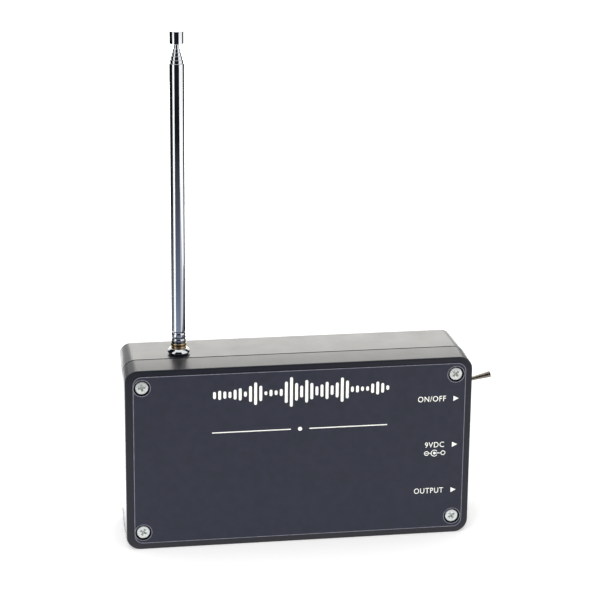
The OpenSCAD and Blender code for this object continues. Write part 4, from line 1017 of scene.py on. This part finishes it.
def foamPad():
    # a slab of open foam: each row of a profile across its thickness is carried round a rectangle (the radius
    # that way), then its faces sink by the pit depth times a product of waves with phases drawn at random
    low, high = (np.array(c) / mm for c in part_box("battery_pad"))
    half, middle = (high - low) / 2, (high + low) / 2
    t = np.linspace(0, 1 - foam["rim"], foam["rows"])
    s = np.linspace(0, math.pi / 2, 6)[1:-1]
    over = 1 - foam["rim"] + foam["rim"] * np.sin(s)
    drop = (1 - foam["flat"]) * (1 - np.cos(s))
    profile = np.vstack([
        np.column_stack([t, np.full(len(t), -1.0)]), np.column_stack([over, -1 + drop]),
        np.column_stack([np.ones(8), np.linspace(-foam["flat"], foam["flat"], 8)]),
        np.column_stack([over[::-1], 1 - drop[::-1]]), np.column_stack([t[::-1], np.full(len(t), 1.0)]),
    ])
    drawn = np.random.default_rng(foam["seed"]).uniform(0, fullTurn, (3, 3))

    def shape(r, z, a):
        reach = np.abs(np.cos(a) / half[0]) ** foam["corner"] + np.abs(np.sin(a) / half[2]) ** foam["corner"]
        x, y = (r * reach ** (-1 / foam["corner"]) * way for way in (np.cos(a), np.sin(a)))
        k = fullTurn / foam["pitch"]
        waves = [
            np.sin(k * scale * x + p[0] + 1.3 * np.sin(k * 0.4 * y + p[1]))
            * np.sin(k * scale * y + p[1] + z * 4 + p[2])
            for scale, p in zip((1.0, 0.63, 0.37), drawn)
        ]
        pit = foam["pit"] * np.clip(0.5 + 0.4 * sum(waves), 0, 1)
        return np.hypot(x, y) - pit * (np.abs(z) < 0.9), z * (half[1] - pit * (np.abs(z) > 0.9))
    points, faces = lathe(profile, foam["sides"], shape=shape)
    points[-2:, 2] *= half[1] - foam["pit"] / 2
    return points[:, [0, 2, 1]] * np.array([1, 1, -1]) + middle, faces


pad = makePiece("foamPad", *foamPad(), openFoam, "lid", "foam", ["battery_pad"], sharp=80)
print("foam pad done")


stage = {"floor": 3.0, "world": 0.85, "floorGlow": 0.24}


def stageCard(name, rows, mat, hidden=()):
    # a flat or curved card through rows of points in metres; the kinds of ray that are named pass through it
    grid = np.array(rows)
    mesh = bpy.data.meshes.new(name)
    mesh.from_pydata(grid.reshape(-1, 3).tolist(), [], gridFaces(*grid.shape[:2], wrapCols=False).tolist())
    mesh.materials.append(mat)
    card = addObject(name, mesh)
    for kind in hidden:
        setattr(card, "visible_" + kind, False)


def backdropRays(tree):
    # 1 for the rays of the camera, of reflections and through glass, and 0 for those that light other things
    path = addNode(tree, "ShaderNodeLightPath").outputs
    seen = path["Is Camera Ray"]
    for kind in ("Is Glossy Ray", "Is Transmission Ray"):
        seen = addNode(tree, "ShaderNodeMath", {"operation": "MAXIMUM"}, {0: seen, 1: path[kind]}).outputs[0]
    return seen


def floorMaterial():
    # matt white paper; what the camera, metal and glass see of it is lifted to white, and shadows still show
    mat, tree = emptyMaterial("whitePaper")
    seen = backdropRays(tree)
    glow = addNode(tree, "ShaderNodeMath", {"operation": "MULTIPLY", 1: stage["floorGlow"]}, {0: seen})
    paper = addNode(tree, "ShaderNodeBsdfDiffuse", {"Color": linear("#f2f2f2")})
    light = addNode(tree, "ShaderNodeEmission", {"Color": (1, 1, 1, 1)}, {"Strength": glow.outputs[0]})
    both = addNode(tree, "ShaderNodeAddShader", links={0: paper.outputs[0], 1: light.outputs[0]})
    addNode(tree, "ShaderNodeOutputMaterial", links={"Surface": both.outputs[0]})
    return mat


s = stage["floor"]
stageCard("floor", [[(x, y, 0) for x in (-s, s)] for y in (-s, s)], floorMaterial())


def makeWorld():
    # even white light, a little weaker on the object than to the camera
    world = bpy.data.worlds.new("world")
    bpy.context.scene.world = world
    world.use_nodes = True
    tree = world.node_tree
    tree.nodes.clear()
    seen = backdropRays(tree)
    level = addNode(tree, "ShaderNodeMapRange", {"To Min": stage["world"], "To Max": 1.0}, {"Value": seen})
    back = addNode(tree, "ShaderNodeBackground", {"Color": (1, 1, 1, 1)}, {"Strength": level.outputs[0]})
    addNode(tree, "ShaderNodeOutputWorld", links={"Surface": back.outputs[0]})


makeWorld()


def softbox(name, place, aim, width, height, level, glossy=True, colour=(1, 1, 1)):
    # square lamp whose face has the given radiance, so its power is radiance times pi times its area
    data = bpy.data.lights.new(name, "AREA")
    data.shape = "RECTANGLE"
    data.size = width
    data.size_y = height
    data.energy = level * math.pi * width * height
    data.color = colour
    lamp = addObject(name, data)
    lamp.location = place
    lamp.rotation_euler = (Vector(aim) - Vector(place)).to_track_quat("-Z", "Y").to_euler()
    lamp.visible_camera = False
    lamp.visible_glossy = glossy


softbox("backSoftbox", (0.22, 1.35, 0.55), (0.07, 0, 0.08), 0.78, 0.7, 2.45, colour=(1, 0.985, 0.925))
# a light table: the panes behind and beside the case, which its sides mirror at a flat angle
softbox("lightTable", (-0.02, 0.42, 0.001), (-0.02, 0.42, 1.0), 0.75, 0.79, 2.5)
softbox("lightTableLeft", (-0.2, 0.0, 0.001), (-0.2, 0.0, 1.0), 0.24, 0.05, 2.5)
softbox("topSoftbox", (-0.1, 0.1, 1.3), (0, 0, 0), 1.4, 1.0, 0.6, glossy=False)
softbox("frontSoftbox", (-0.5, -1.3, 0.9), (0, 0, 0.05), 0.9, 0.7, 5.2, glossy=False)


def cardMaterial(name, axis, first, last, stops):
    # a card that shows one colour to reflections, changing along an axis between two places in metres
    mat, tree = emptyMaterial(name)
    place = addNode(tree, "ShaderNodeTexCoord").outputs["Object"]
    along = addNode(tree, "ShaderNodeSeparateXYZ", links={"Vector": place}).outputs[axis]
    share = addNode(tree, "ShaderNodeMapRange", {"From Min": first, "From Max": last}, {"Value": along})
    shade = addNode(tree, "ShaderNodeValToRGB", links={"Fac": share.outputs[0]}, stops=stops).outputs["Color"]
    light = addNode(tree, "ShaderNodeEmission", {"Strength": 1.0}, {"Color": shade})
    addNode(tree, "ShaderNodeOutputMaterial", links={"Surface": light.outputs[0]})
    return mat


# Grey cloths whose lower parts pick up the paper's slate-blue bounce, black cloth, and paper that falls off
sideCloth = cardMaterial(
    "sideCloth", "Z", 0, 0.15, [(0.0, "#828a98"), (0.207, "#686c76"), (0.56, "#343237"), (0.77, "#1c1b1f")],
)
frontCloth = cardMaterial(
    "frontCloth", "Z", 0, 0.15, [(0.0, "#8792a8"), (0.207, "#6b7489"), (0.56, "#505059"), (0.8, "#1c1c22")],
)
blackCloth = cardMaterial("blackCloth", "Z", 0, 0.15, [(0.0, "#2a2b31"), (0.5, "#15151a")])
dimPaper = cardMaterial(
    "dimPaper", "Y", -0.02, -0.4, [(0.0, "#e6ecf6"), (0.37, "#f2f2f8"), (0.51, "#cfd1dc"), (0.6, "#b9bccb")],
)
# Curved flags round the antenna, seen only in reflections: radius, first and last angle clockwise from the
# camera's side, height and cloth. They shade the tube's edges and middle and leave the case clear
flags = {
    "frontFlag": (0.22, -41, 35, 0.2, frontCloth), "leftFlag": (0.22, -149, -71, 0.116, sideCloth),
    "rightFlag": (0.22, 97, 126, 0.116, sideCloth), "farLeftFlag": (0.5, -150, -71, 0.15, blackCloth),
    "farRightFlag": (0.5, 99, 146, 0.15, blackCloth),
    "tallLeftFlag": (0.52, -132, -74, 1.2, blackCloth), "tallRightFlag": (0.52, 102, 132, 1.2, blackCloth),
    "tallFrontFlag": (0.6, -41, 35, 1.2, blackCloth),
}
# Three flat cards, two on the floor: one in line with the gap in the right flag, and one under the front of
# the case. The third stands far off at the front right, and the lever mirrors it as its dark stripe
rightCard = {"angles": (126, 142), "r": (0.5, 0.24), "z": 0.002}
frontCard = {"x": (-0.2, 0.26), "y": (-0.45, -0.022), "z": 0.001}
leverCard = {"x": (0.02, 0.5), "y": -1.0, "z": (0.0, 0.9)}
glossyOnly = ("camera", "diffuse", "transmission", "volume_scatter", "shadow")
toCamera = math.atan2(camera["place"][0] - antenna["x"], -(camera["place"][1] - antenna["y"]))


def arc(radius, first, last, z, steps=24):
    # points in metres on an arc round the antenna's foot, at a height
    a = np.radians(np.linspace(first, last, steps)) + toCamera
    x, y = antenna["x"] * mm + radius * np.sin(a), antenna["y"] * mm - radius * np.cos(a)
    return np.stack([x, y, np.full(steps, z)], -1)


for name, (radius, first, last, top, cloth) in flags.items():
    stageCard(name, [arc(radius, first, last, z) for z in (0.0, top)], cloth, glossyOnly)
rows = [arc(r, *rightCard["angles"], rightCard["z"]) for r in rightCard["r"]]
stageCard("rightFloorCard", rows, blackCloth, glossyOnly)
rows = [[(x, y, frontCard["z"]) for x in frontCard["x"]] for y in frontCard["y"]]
stageCard("frontFloorCard", rows, dimPaper, glossyOnly)
rows = [[(x, leverCard["y"], z) for x in leverCard["x"]] for z in leverCard["z"]]
stageCard("leverFlag", rows, blackCloth, glossyOnly)
print("stage and light done")
